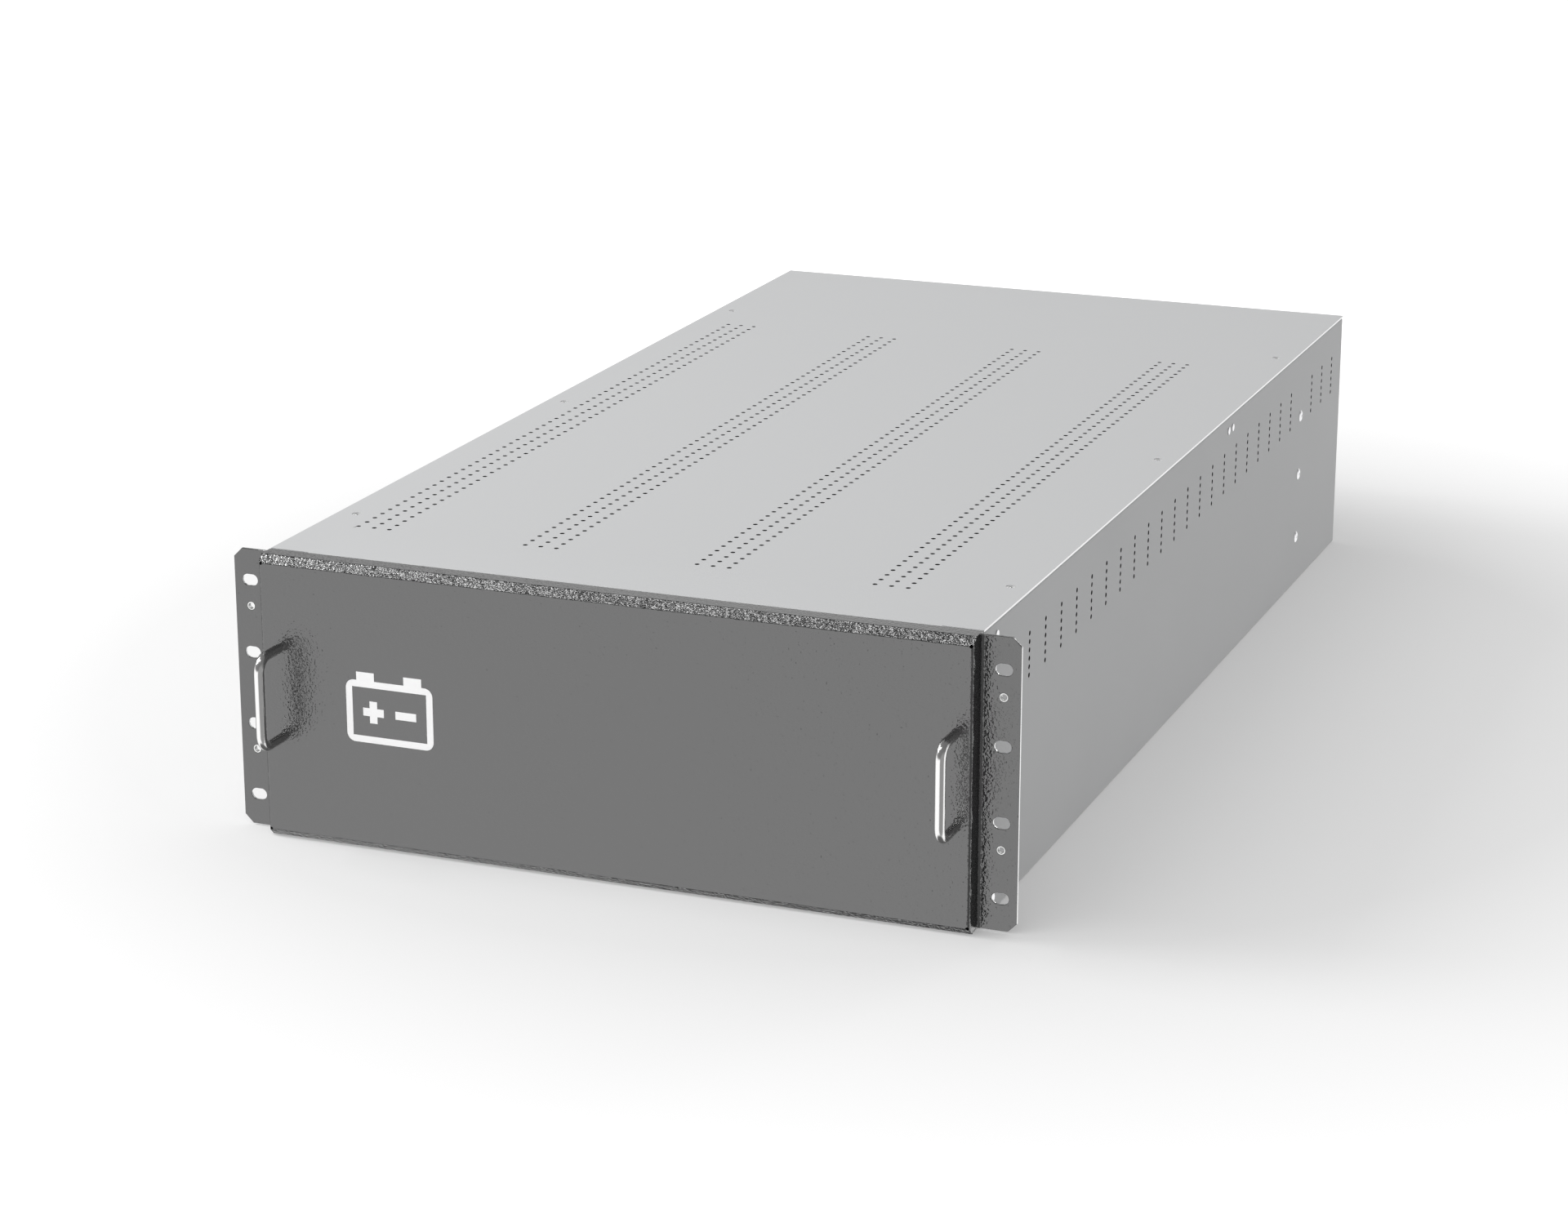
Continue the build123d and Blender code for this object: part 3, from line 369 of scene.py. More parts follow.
class Sheet:
    """A mesh in the making, with the operators that sheet metal needs."""

    def __init__(self) -> None:
        """Starts an empty mesh."""
        self.bm = bmesh.new()

    def grid(self, corner: Vector, along: Vector, up: Vector) -> None:
        """Lays one flat face.

        Args:
            corner: its first corner.
            along: its first side.
            up: its second side.
        """
        centre = corner + (along + up) / 2
        turn = Matrix((along, up, along.cross(up).normalized())).transposed().to_4x4()
        bmesh.ops.create_grid(
            self.bm, x_segments=1, y_segments=1, size=0.5, matrix=Matrix.Translation(centre) @ turn
        )

    def slice(self, along: Along, places: Iterable[float], keep: Test | None = None) -> None:
        """Cuts faces across at each place.

        Args:
            along: the direction that the places are measured in.
            places: where the cuts are.
            keep: which faces are cut, by their centre; all of them when left out.
        """
        for place in places:
            self.trim(along.by(place), along.vector, keep, False)

    def trim(self, point: Vector, normal: Vector, keep: Test | None = None, clear: bool = True) -> None:
        """Cuts along a plane.

        Args:
            point: a point of the plane.
            normal: the side that goes.
            keep: which faces the cut reaches, by their centre; all of them when left out.
            clear: whether that side does go.
        """
        faces = [f for f in self.bm.faces if keep is None or keep(f.calc_center_median())]
        edges = {edge for face in faces for edge in face.edges}
        verts = {vert for face in faces for vert in face.verts}
        bmesh.ops.bisect_plane(
            self.bm,
            geom=[*verts, *edges, *faces],
            dist=ON_PLANE,
            plane_co=point,
            plane_no=normal,
            clear_outer=clear,
        )

    def punch(self, faces: list[bmesh.types.BMFace], radius: float, cuts: int = 2) -> None:
        """Opens a round hole in the middle of each face.

        Args:
            faces: four-sided faces, each centred on its hole.
            radius: the hole's radius.
            cuts: how many points each quarter of the hole has between its corners.
        """
        half = min(edge.calc_length() for edge in faces[0].edges) / 2
        bmesh.ops.inset_individual(
            self.bm, faces=faces, thickness=half - radius / sqrt(2), use_even_offset=True
        )
        rims = {edge for face in faces for edge in face.edges}
        bmesh.ops.subdivide_edges(self.bm, edges=list(rims), cuts=cuts)
        step = pi / 2 / (cuts + 1)
        for face in faces:
            centre = face.calc_center_bounds()
            across = face.normal.orthogonal().normalized()
            up = face.normal.cross(across)
            start = face.verts[0].co - centre
            base = atan2(start.dot(up), start.dot(across))
            for vert in face.verts:
                offset = vert.co - centre
                turn = atan2(offset.dot(up), offset.dot(across)) - base
                near = floor(turn / step + 0.5) * step + base
                vert.co = centre + (across * cos(near) + up * sin(near)) * radius
        bmesh.ops.delete(self.bm, geom=faces, context="FACES")

    def fold(
        self,
        edges: list[bmesh.types.BMEdge],
        centre: Vector,
        axis: Vector,
        angle: float,
        steps: int = 6,
    ) -> list[bmesh.types.BMEdge]:
        """Bends the sheet on from some edges round an axis.

        Args:
            edges: the edges that the bend starts from.
            centre: a point of the bend's axis.
            axis: the axis' direction.
            angle: how far it turns.
            steps: how many faces the bend has.

        Returns:
            The edges at the end of the bend.
        """
        made = bmesh.ops.spin(
            self.bm, geom=edges, cent=centre, axis=axis, dvec=Vector(), angle=angle, steps=steps
        )
        return [item for item in made["geom_last"] if isinstance(item, bmesh.types.BMEdge)]

    def draw(self, edges: list[bmesh.types.BMEdge], move: Vector) -> list[bmesh.types.BMEdge]:
        """Extends the sheet flat from some edges.

        Args:
            edges: the edges that it starts from.
            move: how far it goes.

        Returns:
            The new edges at its end.
        """
        made = bmesh.ops.extrude_edge_only(self.bm, edges=edges)["geom"]
        verts = [item for item in made if isinstance(item, bmesh.types.BMVert)]
        bmesh.ops.translate(self.bm, vec=move, verts=verts)
        ends = set(verts)
        return [edge for edge in self.bm.edges if len(edge.link_faces) == 1 and ends.issuperset(edge.verts)]

    def edges_at(self, along: Along, place: float) -> list[bmesh.types.BMEdge]:
        """Finds the open edges that lie across a direction.

        Args:
            along: the direction.
            place: where they are along it.

        Returns:
            The edges.
        """
        return [edge for edge in self.bm.edges if len(edge.link_faces) < 2 and lies(edge, along, place)]

    def merge(self) -> None:
        """Joins the points that coincide."""
        bmesh.ops.remove_doubles(self.bm, verts=self.bm.verts, dist=SAME)

    def turn_out(self) -> None:
        """Turns the faces of closed forms outwards."""
        bmesh.ops.recalc_face_normals(self.bm, faces=self.bm.faces)

    def mirror(self) -> None:
        """Adds the other half across the module's middle."""
        geom = [*self.bm.verts, *self.bm.edges, *self.bm.faces]
        bmesh.ops.mirror(self.bm, geom=geom, axis="X", merge_dist=SAME)
        self.merge()

    def face_out(self, along: Vector) -> None:
        """Turns all faces so that the one furthest in a direction looks that way.

        Args:
            along: the direction.
        """
        straight = 0.9
        self.turn_out()
        self.bm.normal_update()
        lookers = [f for f in self.bm.faces if abs(f.normal.dot(along)) > straight]
        outermost = max(lookers, key=lambda f: f.calc_center_median().dot(along))
        if outermost.normal.dot(along) < 0:
            bmesh.ops.reverse_faces(self.bm, faces=self.bm.faces)
        self.bm.normal_update()

    def thicken(self, thickness: float) -> None:
        """Gives the sheet a thickness behind its faces.

        Args:
            thickness: how thick it gets.
        """
        geom = [*self.bm.verts, *self.bm.edges, *self.bm.faces]
        bmesh.ops.solidify(self.bm, geom=geom, thickness=thickness)
        self.bm.normal_update()

    def mark_cuts(self, mark: Mark, normal: Vector, centres: Test) -> None:
        """Marks the walls of holes or the cut edges of a sheet.

        Args:
            mark: what they are marked as.
            normal: the direction in which the sheet faces.
            centres: the test of a face's middle.
        """
        upright_limit = 0.1
        layers = self.bm.faces.layers.float
        layer = layers.get(mark.attribute) or layers.new(mark.attribute)
        for face in self.bm.faces:
            if abs(face.normal.dot(normal)) < upright_limit and centres(face.calc_center_median()):
                face[layer] = 1.0

    def soften(self, width: float, chosen: Test, segments: int = 2, sharper: float = 50.0) -> None:
        """Rounds the sharp edges that a test chooses.

        Args:
            width: how wide the rounding is.
            chosen: the test of an edge's middle.
            segments: how many faces it has.
            sharper: the least angle in degrees of an edge that is rounded.
        """
        edges = [
            edge
            for edge in self.bm.edges
            if len(edge.link_faces) == 2
            and edge.calc_face_angle(0.0) > radians(sharper)
            and chosen((edge.verts[0].co + edge.verts[1].co) / 2)
        ]
        bmesh.ops.bevel(
            self.bm,
            geom=edges,
            offset=width,
            offset_type="OFFSET",
            segments=segments,
            profile=0.5,
            affect="EDGES",
            clamp_overlap=True,
            material=-1,
        )

    def revolve(self, outline: Outline, place: Matrix, steps: int = 24) -> None:
        """Turns an outline into a round form.

        Args:
            outline: its (radius, height) points in mm, from one end to the other.
            place: where the form's foot and axis are; its own axis is Z.
            steps: how many faces go round.
        """
        points = [Vector((radius * MM, 0.0, height * MM)) for radius, height in outline]
        verts = [self.bm.verts.new(place @ point) for point in points]
        edges = [self.bm.edges.new(pair) for pair in zip(verts, verts[1:])]
        axis = (place.to_3x3() @ Vector((0.0, 0.0, 1.0))).normalized()
        bmesh.ops.spin(
            self.bm,
            geom=[*verts, *edges],
            cent=place.translation,
            axis=axis,
            dvec=Vector(),
            angle=2 * pi,
            steps=steps,
            use_merge=True,
        )

    def finish(self, name: str, finish: Finish, replaced: Sequence[str] = ()) -> bpy.types.Object:
        """Turns the mesh into a piece of the module.

        Args:
            name: the piece's name.
            finish: its surface.
            replaced: the solids that it stands for.

        Returns:
            The finished piece.
        """
        piece = self.to_object(name)
        smooth(piece.data)
        piece.data.materials.append(finish.make())
        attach(piece, "root")
        if replaced:
            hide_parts(*replaced)
        log.info("%s: %d faces", name, len(piece.data.polygons))
        return piece

    def to_object(self, name: str) -> bpy.types.Object:
        """Turns the mesh into a bare object.

        Args:
            name: the object's name.

        Returns:
            The object.
        """
        mesh = bpy.data.meshes.new(name)
        self.bm.to_mesh(mesh)
        self.bm.free()
        return add_object(name, mesh)


def lies(edge: bmesh.types.BMEdge, along: Along, place: float) -> bool:
    """Whether an edge lies across a direction at a place."""
    return all(abs(vert.co.dot(along.vector) - place) < SAME for vert in edge.verts)


def smooth(mesh: bpy.types.Mesh) -> None:
    """Shades a mesh smooth between its sharp edges."""
    mesh.shade_smooth()
    mesh.set_sharp_from_angle(angle=radians(SHARP_ANGLE))


def add_object(name: str, data: bpy.types.ID) -> bpy.types.Object:
    """Adds an object to the scene.

    Args:
        name: its name.
        data: its mesh, lamp or camera.

    Returns:
        The object.
    """
    made = bpy.data.objects.new(name, data)
    bpy.context.scene.collection.objects.link(made)
    return made


def upright(place: Vector, direction: Vector) -> Matrix:
    """A placing whose own Z points in a direction.

    Args:
        place: its origin.
        direction: where its Z goes.

    Returns:
        The placing.
    """
    return Matrix.Translation(place) @ direction.to_track_quat("Z", "Y").to_matrix().to_4x4()


def carve(piece: bpy.types.Object, cutter: Sheet, after: Callable[[Sheet], None]) -> None:
    """Cuts closed forms out of a piece for good.

    Args:
        piece: the piece that is cut.
        cutter: the forms that go.
        after: what is done to the mesh once they are cut.
    """
    cutter.turn_out()
    tool = cutter.to_object("cutter")
    cut = piece.modifiers.new("carve", "BOOLEAN")
    cut.operation = "DIFFERENCE"
    cut.solver = "EXACT"
    cut.object = tool
    bpy.context.view_layer.update()
    result = Sheet()
    result.bm.from_object(piece, bpy.context.evaluated_depsgraph_get())
    piece.modifiers.remove(cut)
    bpy.data.meshes.remove(tool.data)
    result.merge()
    result.bm.normal_update()
    after(result)
    result.bm.to_mesh(piece.data)
    result.bm.free()
    smooth(piece.data)


# The module


@dataclass
class Layout:
    """Places that several sub-assemblies share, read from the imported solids."""

    sheet: float = 1.2 * MM
    case_low: Vector = field(default_factory=lambda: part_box("chassis")[0])
    case_high: Vector = field(default_factory=lambda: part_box("chassis")[1])
    panel_low: Vector = field(default_factory=lambda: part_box("front_panel")[0])
    panel_high: Vector = field(default_factory=lambda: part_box("front_panel")[1])
    cover_low: Vector = field(default_factory=lambda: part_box("top_cover")[0])
    cover_high: Vector = field(default_factory=lambda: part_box("top_cover")[1])

    @property
    def ear_y(self) -> float:
        """The front plane of the rack ears."""
        mounts = {mount["name"]: mount for mount in frame["record"]["mounts"]}
        return mounts["rack_slots_outer"]["pos_m"][1]

    @property
    def middle_z(self) -> float:
        """The height of the case's middle."""
        return self.panel_high.z / 2

    @property
    def wall_x(self) -> float:
        """The outer face of a side wall."""
        return self.case_high.x


@dataclass
class CaseShell:
    """The folded case: two perforated walls, a floor and the rims that carry the cover."""

    layout: Layout
    fold: float = 1.8 * MM
    rim: float = 24.2 * MM
    hole: float = 1.5 * MM
    column_pitch: float = 30.0 * MM
    first_column: float = 86.03 * MM
    columns: int = 25
    row_pitch: float = 5.0 * MM
    top_row: float = 60.9 * MM
    rows: int = 6
    bulkhead: float = 715.5 * MM
    bulkhead_reach: float = 11.0 * MM

    def column_places(self) -> list[float]:
        """Where the columns of vents are, with none where the bulkhead is riveted."""
        every = [self.first_column + index * self.column_pitch for index in range(self.columns)]
        return [self.layout.ear_y + y for y in every if abs(y - self.bulkhead) > self.bulkhead_reach]

    def build(self) -> bpy.types.Object:
        """Folds the case.

        Returns:
            The case.
        """
        low, high = self.layout.case_low, self.layout.case_high
        shell = Sheet()
        wall_low, wall_high = low.z + self.fold, high.z - self.fold
        deep, tall = Along.Y.by(high.y - low.y), Along.Z.by(wall_high - wall_low)
        shell.grid(Vector((high.x, low.y, wall_low)), deep, tall)
        half = self.row_pitch / 2
        top = self.layout.middle_z + self.top_row
        bands = [top + half - row * self.row_pitch for row in range(self.rows + 1)]
        shell.slice(Along.Z, [bands[0], bands[-1]])
        columns = self.column_places()
        lines = [y + step for y in columns for step in (-half, half)]
        shell.slice(Along.Y, lines, lambda c: bands[-1] < c.z < bands[0])

        def near_column(centre: Vector) -> bool:
            """Whether a face is in a column of vents."""
            return bands[-1] < centre.z < bands[0] and any(abs(centre.y - y) < half / 2 for y in columns)

        shell.slice(Along.Z, bands[1:-1], near_column)
        tiles = [f for f in shell.bm.faces if near_column(f.calc_center_bounds())]
        shell.bm.normal_update()
        shell.punch(tiles, self.hole)
        lower, upper = shell.edges_at(Along.Z, wall_low), shell.edges_at(Along.Z, wall_high)
        lower_end = shell.fold(lower, Vector((high.x - self.fold, 0.0, wall_low)), Along.Y.vector, pi / 2)
        shell.draw(lower_end, Along.X.by(self.fold - high.x))
        upper_end = shell.fold(upper, Vector((high.x - self.fold, 0.0, wall_high)), Along.Y.vector, -pi / 2)
        shell.draw(upper_end, Along.X.by(self.fold - self.rim))
        shell.mirror()
        shell.face_out(Along.X.vector)
        shell.thicken(self.layout.sheet)
        front, back = low.y + half, high.y - half
        across = Along.X.vector
        # The walls of the vent holes get a near-black painted shade.
        shell.mark_cuts(VENT_WALL_PAINTED_SHADE, across, lambda c: bands[-1] < c.z < bands[0] and front < c.y < back)
        shell.mark_cuts(BARE_EDGE, across, lambda c: c.y < low.y + CLOSE or c.y > high.y - CLOSE)
        return shell.finish("case_shell", CASE_PAINT, ["chassis"])


@dataclass
class TopCover:
    """The flat cover with its four vent fields and folded front lip."""

    layout: Layout
    fold: float = 1.8 * MM
    lip: float = 11.0 * MM
    lip_half_width: float = 195.2 * MM
    corner_setback: float = 1.1 * MM
    hole: float = 1.5 * MM
    pitch: float = 10.0 * MM
    groups: int = 4
    columns: int = 3
    rows: int = 59
    first_row: float = 63.14 * MM
    group_offset: float = 19.25 * MM
    screw_x: float = 207.3 * MM
    screw_rows: tuple[float, ...] = (87.0 * MM, 387.0 * MM, 687.0 * MM)
    screw_seat: float = 2.8 * MM
    screw_tile: float = 4.0 * MM
    seat_cuts: int = 4

    def group_centres(self) -> list[float]:
        """The middles of the vent fields."""
        bay = 2 * (self.layout.wall_x - self.layout.sheet) / self.groups
        return [(group - (self.groups - 1) / 2) * bay - self.group_offset for group in range(self.groups)]

    def screw_places(self) -> list[tuple[float, float]]:
        """Where the screws are, seen from above."""
        rows = [self.layout.ear_y + row for row in self.screw_rows]
        return [(side.value * self.screw_x, y) for side in Side for y in rows]

    def build(self) -> bpy.types.Object:
        """Cuts, punches and folds the cover.

        Returns:
            The cover.
        """
        low, high = self.layout.cover_low, self.layout.cover_high
        fold_y = low.y + self.fold
        sheet = Sheet()
        sheet.grid(Vector((low.x, fold_y, high.z)), Along.X.by(high.x - low.x), Along.Y.by(high.y - fold_y))
        half = self.pitch / 2
        reach = self.columns * half
        first = self.layout.ear_y + self.first_row - half
        lines = [first + row * self.pitch for row in range(self.rows + 1)]
        centres = self.group_centres()
        sheet.slice(Along.Y, [lines[0]])
        for centre in centres:
            sheet.slice(Along.X, [centre - reach + column * self.pitch for column in range(self.columns + 1)])
        sheet.slice(Along.X, [-self.lip_half_width, self.lip_half_width], lambda c: c.y < lines[0])

        def in_group(point: Vector) -> bool:
            """Whether a face is in a vent field."""
            return any(abs(point.x - centre) < reach for centre in centres)

        sheet.slice(Along.Y, lines[1:], in_group)
        tiles = [
            face
            for face in sheet.bm.faces
            if in_group(face.calc_center_bounds()) and lines[0] < face.calc_center_bounds().y < lines[-1]
        ]
        sheet.bm.normal_update()
        sheet.punch(tiles, self.hole)
        self._seat_screws(sheet)
        front = sheet.edges_at(Along.Y, fold_y)
        middle = [e for e in front if abs((e.verts[0].co.x + e.verts[1].co.x) / 2) < self.lip_half_width]
        corners = [edge for edge in front if edge not in middle]
        turned = sheet.fold(middle, Vector((0.0, fold_y, high.z - self.fold)), Along.X.vector, pi / 2)
        sheet.draw(turned, Along.Z.by(self.fold - self.lip))
        sheet.draw(corners, Along.Y.by(self.corner_setback - self.fold))
        sheet.face_out(Along.Z.vector)
        sheet.thicken(self.layout.sheet)
        under = high.z - self.layout.sheet
        up = Along.Z.vector
        # The walls of the vent holes get a near-black painted shade.
        sheet.mark_cuts(VENT_WALL_PAINTED_SHADE, up, lambda c: c.z > under and lines[0] < c.y < lines[-1] and in_group(c))
        sheet.mark_cuts(BARE_EDGE, up, lambda c: abs(c.x) > high.x - CLOSE or c.y > high.y - CLOSE)
        return sheet.finish("vented_cover", COVER_PAINT, ["top_cover"])

    def _seat_screws(self, sheet: Sheet) -> None:
        """Opens the six screw seats in the margins outside the vent fields.

        Args:
            sheet: the cover in the making.
        """
        tile = self.screw_tile
        sheet.slice(Along.X, [side.value * self.screw_x + step for side in Side for step in (-tile, tile)])
        for x, y in self.screw_places():
            sheet.slice(Along.Y, [y - tile, y + tile], lambda c: abs(c.x - x) < tile / 2)
        seats = [
            face
            for face in sheet.bm.faces
            for x, y in self.screw_places()
            if (face.calc_center_bounds() - Vector((x, y, self.layout.cover_high.z))).length < tile / 2
        ]
        sheet.bm.normal_update()
        sheet.punch(seats, self.screw_seat, self.seat_cuts)


@dataclass
class FrontPanel:
    """The front panel and rack ears, folded from one sheet, with their slots and holes."""

    layout: Layout
    sheet: float = 1.5 * MM
    bend: float = 2.0 * MM
    bevel: float = 4.8 * MM
    ear_step: float = 1.1 * MM
    ear_corner: float = 5.2 * MM
    slot_half_length: float = 5.0 * MM
    slot_half_width: float = 3.5 * MM
    slot_inset: float = 9.95 * MM
    rack_unit: float = 44.45 * MM
    rack_step: float = 15.875 * MM
    slot_rows: int = 4
    nut_hole: float = 2.5 * MM
    relief: float = 1.0 * MM
    relief_shift: float = 0.4 * MM
    fold_rounding: float = 1.2 * MM
    fold_faces: int = 5
    fold_angle: float = 30.0
    edge_rounding: float = 0.2 * MM
    edge_margin: float = 0.1 * MM

    @property
    def slot_x(self) -> float:
        """How far the slots are from the middle."""
        return self.layout.panel_high.x - self.slot_inset

    def slot_heights(self) -> list[float]:
        """The heights of the slots."""
        first = -(self.slot_rows - 1) / 2
        return [self.layout.middle_z + (first + row) * self.rack_unit for row in range(self.slot_rows)]

    def nut_places(self) -> list[tuple[float, float]]:
        """Where the clinch nuts are, seen from the front."""
        heights = [height - self.rack_step for height in self.slot_heights()[1::2]]
        return [(side.value * self.slot_x, height) for side in Side for height in heights]

    def build(self) -> bpy.types.Object:
        """Folds the panel and cuts its openings.

        Returns:
            The panel.
        """
        face_y, back_y = self.layout.panel_low.y, self.layout.panel_high.y
        top, wall = self.layout.panel_high.z, self.layout.wall_x
        ear_y = self.layout.ear_y
        low, high = self.ear_step, top - self.ear_step
        panel = Sheet()
        flat = wall - self.bend
        panel.grid(Vector((0.0, face_y, low)), Along.X.by(flat), Along.Z.by(high - low))
        side = panel.edges_at(Along.X, flat)
        side = panel.fold(side, Vector((flat, face_y + self.bend, 0.0)), Along.Z.vector, pi / 2)
        side = panel.draw(side, Along.Y.by(ear_y - face_y - 2 * self.bend))
        side = panel.fold(side, Vector((wall + self.bend, ear_y - self.bend, 0.0)), Along.Z.vector, -pi / 2)
        panel.draw(side, Along.X.by(self.layout.panel_high.x - wall - self.bend))
        for sign, level in ((-1, 0.0), (1, top)):
            self._bevel_edge(panel, sign, level, face_y, back_y)
            corner = Vector((self.layout.panel_high.x - self.ear_corner, ear_y, level - sign * self.ear_step))
            outward = Vector((1.0, 0.0, float(sign))).normalized()
            panel.trim(corner, outward, lambda c: c.x > wall + self.bend)
        panel.merge()
        panel.mirror()
        panel.face_out(FORWARD)
        panel.thicken(self.sheet)
        piece = panel.finish("folded_front_panel", PANEL_PAINT, ["front_panel"])
        carve(piece, self._openings(face_y, ear_y, top, wall), self._round_edges)
        for face in piece.data.polygons:
            face.use_smooth = not self._is_flat(face.normal)
        return piece

    @staticmethod
    def _is_flat(normal: Vector) -> bool:
        """Tells the panel's flats and bevels from its rounded folds.

        Args:
            normal: a face's normal.

        Returns:
            Whether the face is a flat or a bevel.
        """
        straight, slack = 0.9999, 0.005
        squared_up = max(abs(part) for part in normal) > straight
        bevelled = abs(normal.x) < slack and abs(abs(normal.y) - abs(normal.z)) < slack
        return squared_up or bevelled

    def _round_edges(self, panel: Sheet) -> None:
        """Rounds the folds of both bevels and the edges of the ears and their slots.

        Args:
            panel: the panel in the making, cut out.
        """
        face_y, top = self.layout.panel_low.y, self.layout.panel_high.z
        ear_y = self.layout.ear_y
        folds = [
            (face_y, self.bevel),
            (face_y, top - self.bevel),
            (face_y + self.bevel, 0.0),
            (face_y + self.bevel, top),
        ]

        def on_fold(middle: Vector) -> bool:
            """Whether an edge is one of the four folds."""
            return any(abs(middle.y - y) < CLOSE and abs(middle.z - z) < CLOSE for y, z in folds)

        panel.soften(self.fold_rounding, on_fold, self.fold_faces, self.fold_angle)
        inner = self.layout.wall_x + self.bend + CLOSE
        outer = self.layout.panel_high.x - self.edge_margin
        panel.soften(self.edge_rounding, lambda c: inner < abs(c.x) < outer and abs(c.y - ear_y) < CLOSE)
        panel.bm.normal_update()
        behind, below = ear_y + self.edge_rounding, top - self.ear_step - self.ear_corner
        panel.mark_cuts(BARE_EDGE, FORWARD, lambda c: abs(c.x) > inner and c.y > behind and c.z < below)

    def _bevel_edge(self, panel: Sheet, sign: int, level: float, face_y: float, back_y: float) -> None:
        """Cuts the face back along one long edge and folds on the bevel and its flange.

        Args:
            panel: the panel in the making.
            sign: 1 at the top and -1 at the bottom.
            level: the height of that edge of the panel.
            face_y: the face's plane.
            back_y: where the flange ends.
        """
        bend_z = level - sign * self.bevel
        flat = self.layout.wall_x - self.bend
        bend_point, outward = Vector((0.0, face_y, bend_z)), Vector((0.0, -1.0, float(sign))).normalized()
        panel.trim(bend_point, outward)
        face_edge = [edge for edge in panel.edges_at(Along.Z, bend_z) if lies(edge, Along.Y, face_y)]
        slope = Vector((0.0, self.bevel, sign * self.bevel))
        ridge = panel.draw(face_edge, slope)
        ridge = [edge for edge in ridge if lies(edge, Along.Z, level)]
        panel.draw(ridge, Along.Y.by(back_y - face_y - self.bevel))
        rim = [
            vert
            for vert in panel.bm.verts
            if vert.co.x > flat - SAME and abs((vert.co - bend_point).dot(outward)) < SAME
        ]
        shoulder = panel.bm.verts.new((self.layout.wall_x, face_y + self.bevel, level))
        rim.sort(key=lambda vert: (vert.co.y, vert.co.x))
        inner = [vert for vert in rim if abs(vert.co.x - flat) < SAME and vert.co.y > face_y + self.bend]
        outer = [vert for vert in rim if vert not in inner]
        panel.bm.faces.new([*outer, shoulder, *inner])
        ends = [edge for edge in panel.edges_at(Along.X, flat) if lies(edge, Along.Z, level)]
        panel.draw(ends, Along.X.by(self.bend))

    def _openings(self, face_y: float, ear_y: float, top: float, wall: float) -> Sheet:
        """Makes the forms that are cut out of the panel.

        Args:
            face_y: the face's plane.
            ear_y: the ears' plane.
            top: the panel's height.
            wall: the outer face of a side wall.

        Returns:
            The cutter.
        """
        cutter = Sheet()
        depth = 4 * self.sheet
        for side in Side:
            for height in self.slot_heights():
                centre = Vector((side.value * self.slot_x, ear_y + depth / 2, height))
                self._slot_form(cutter, centre, depth)
            for height in (self.bevel, top - self.bevel):
                out = side.value * (wall - self.bend + self.relief_shift)
                centre = Vector((out, face_y + depth / 2, height))
                self._round_form(cutter, upright(centre, FORWARD), self.relief, depth)
        for x, height in self.nut_places():
            centre = Vector((x, ear_y + depth / 2, height))
            self._round_form(cutter, upright(centre, FORWARD), self.nut_hole, depth)
        return cutter

    def _slot_form(self, cutter: Sheet, centre: Vector, depth: float) -> None:
        """Adds one round-ended slot to the cutter.

        Args:
            cutter: the cutter in the making.
            centre: the middle of the slot's far end.
            depth: how far it goes forwards.
        """
        made = bmesh.ops.create_circle(
            cutter.bm,
            cap_ends=True,
            radius=self.slot_half_width,
            segments=32,
            matrix=Matrix.Translation(centre) @ Matrix.Rotation(pi / 2, 4, "X"),
        )["verts"]
        stretch = self.slot_half_length - self.slot_half_width
        for vert in made:
            vert.co.x += stretch if vert.co.x > centre.x else -stretch
        faces = list({face for vert in made for face in vert.link_faces})
        grown = bmesh.ops.extrude_face_region(cutter.bm, geom=faces)["geom"]
        moved = [item for item in grown if isinstance(item, bmesh.types.BMVert)]
        bmesh.ops.translate(cutter.bm, vec=FORWARD * depth, verts=moved)

    @staticmethod
    def _round_form(cutter: Sheet, place: Matrix, radius: float, depth: float) -> None:
        """Adds one round hole to the cutter.

        Args:
            cutter: the cutter in the making.
            place: its far end and direction.
            radius: its radius.
            depth: how far it goes.
        """
        bmesh.ops.create_cone(
            cutter.bm,
            cap_ends=True,
            segments=24,
            radius1=radius,
            radius2=radius,
            depth=depth,
            matrix=place @ Matrix.Translation((0.0, 0.0, depth / 2)),
        )


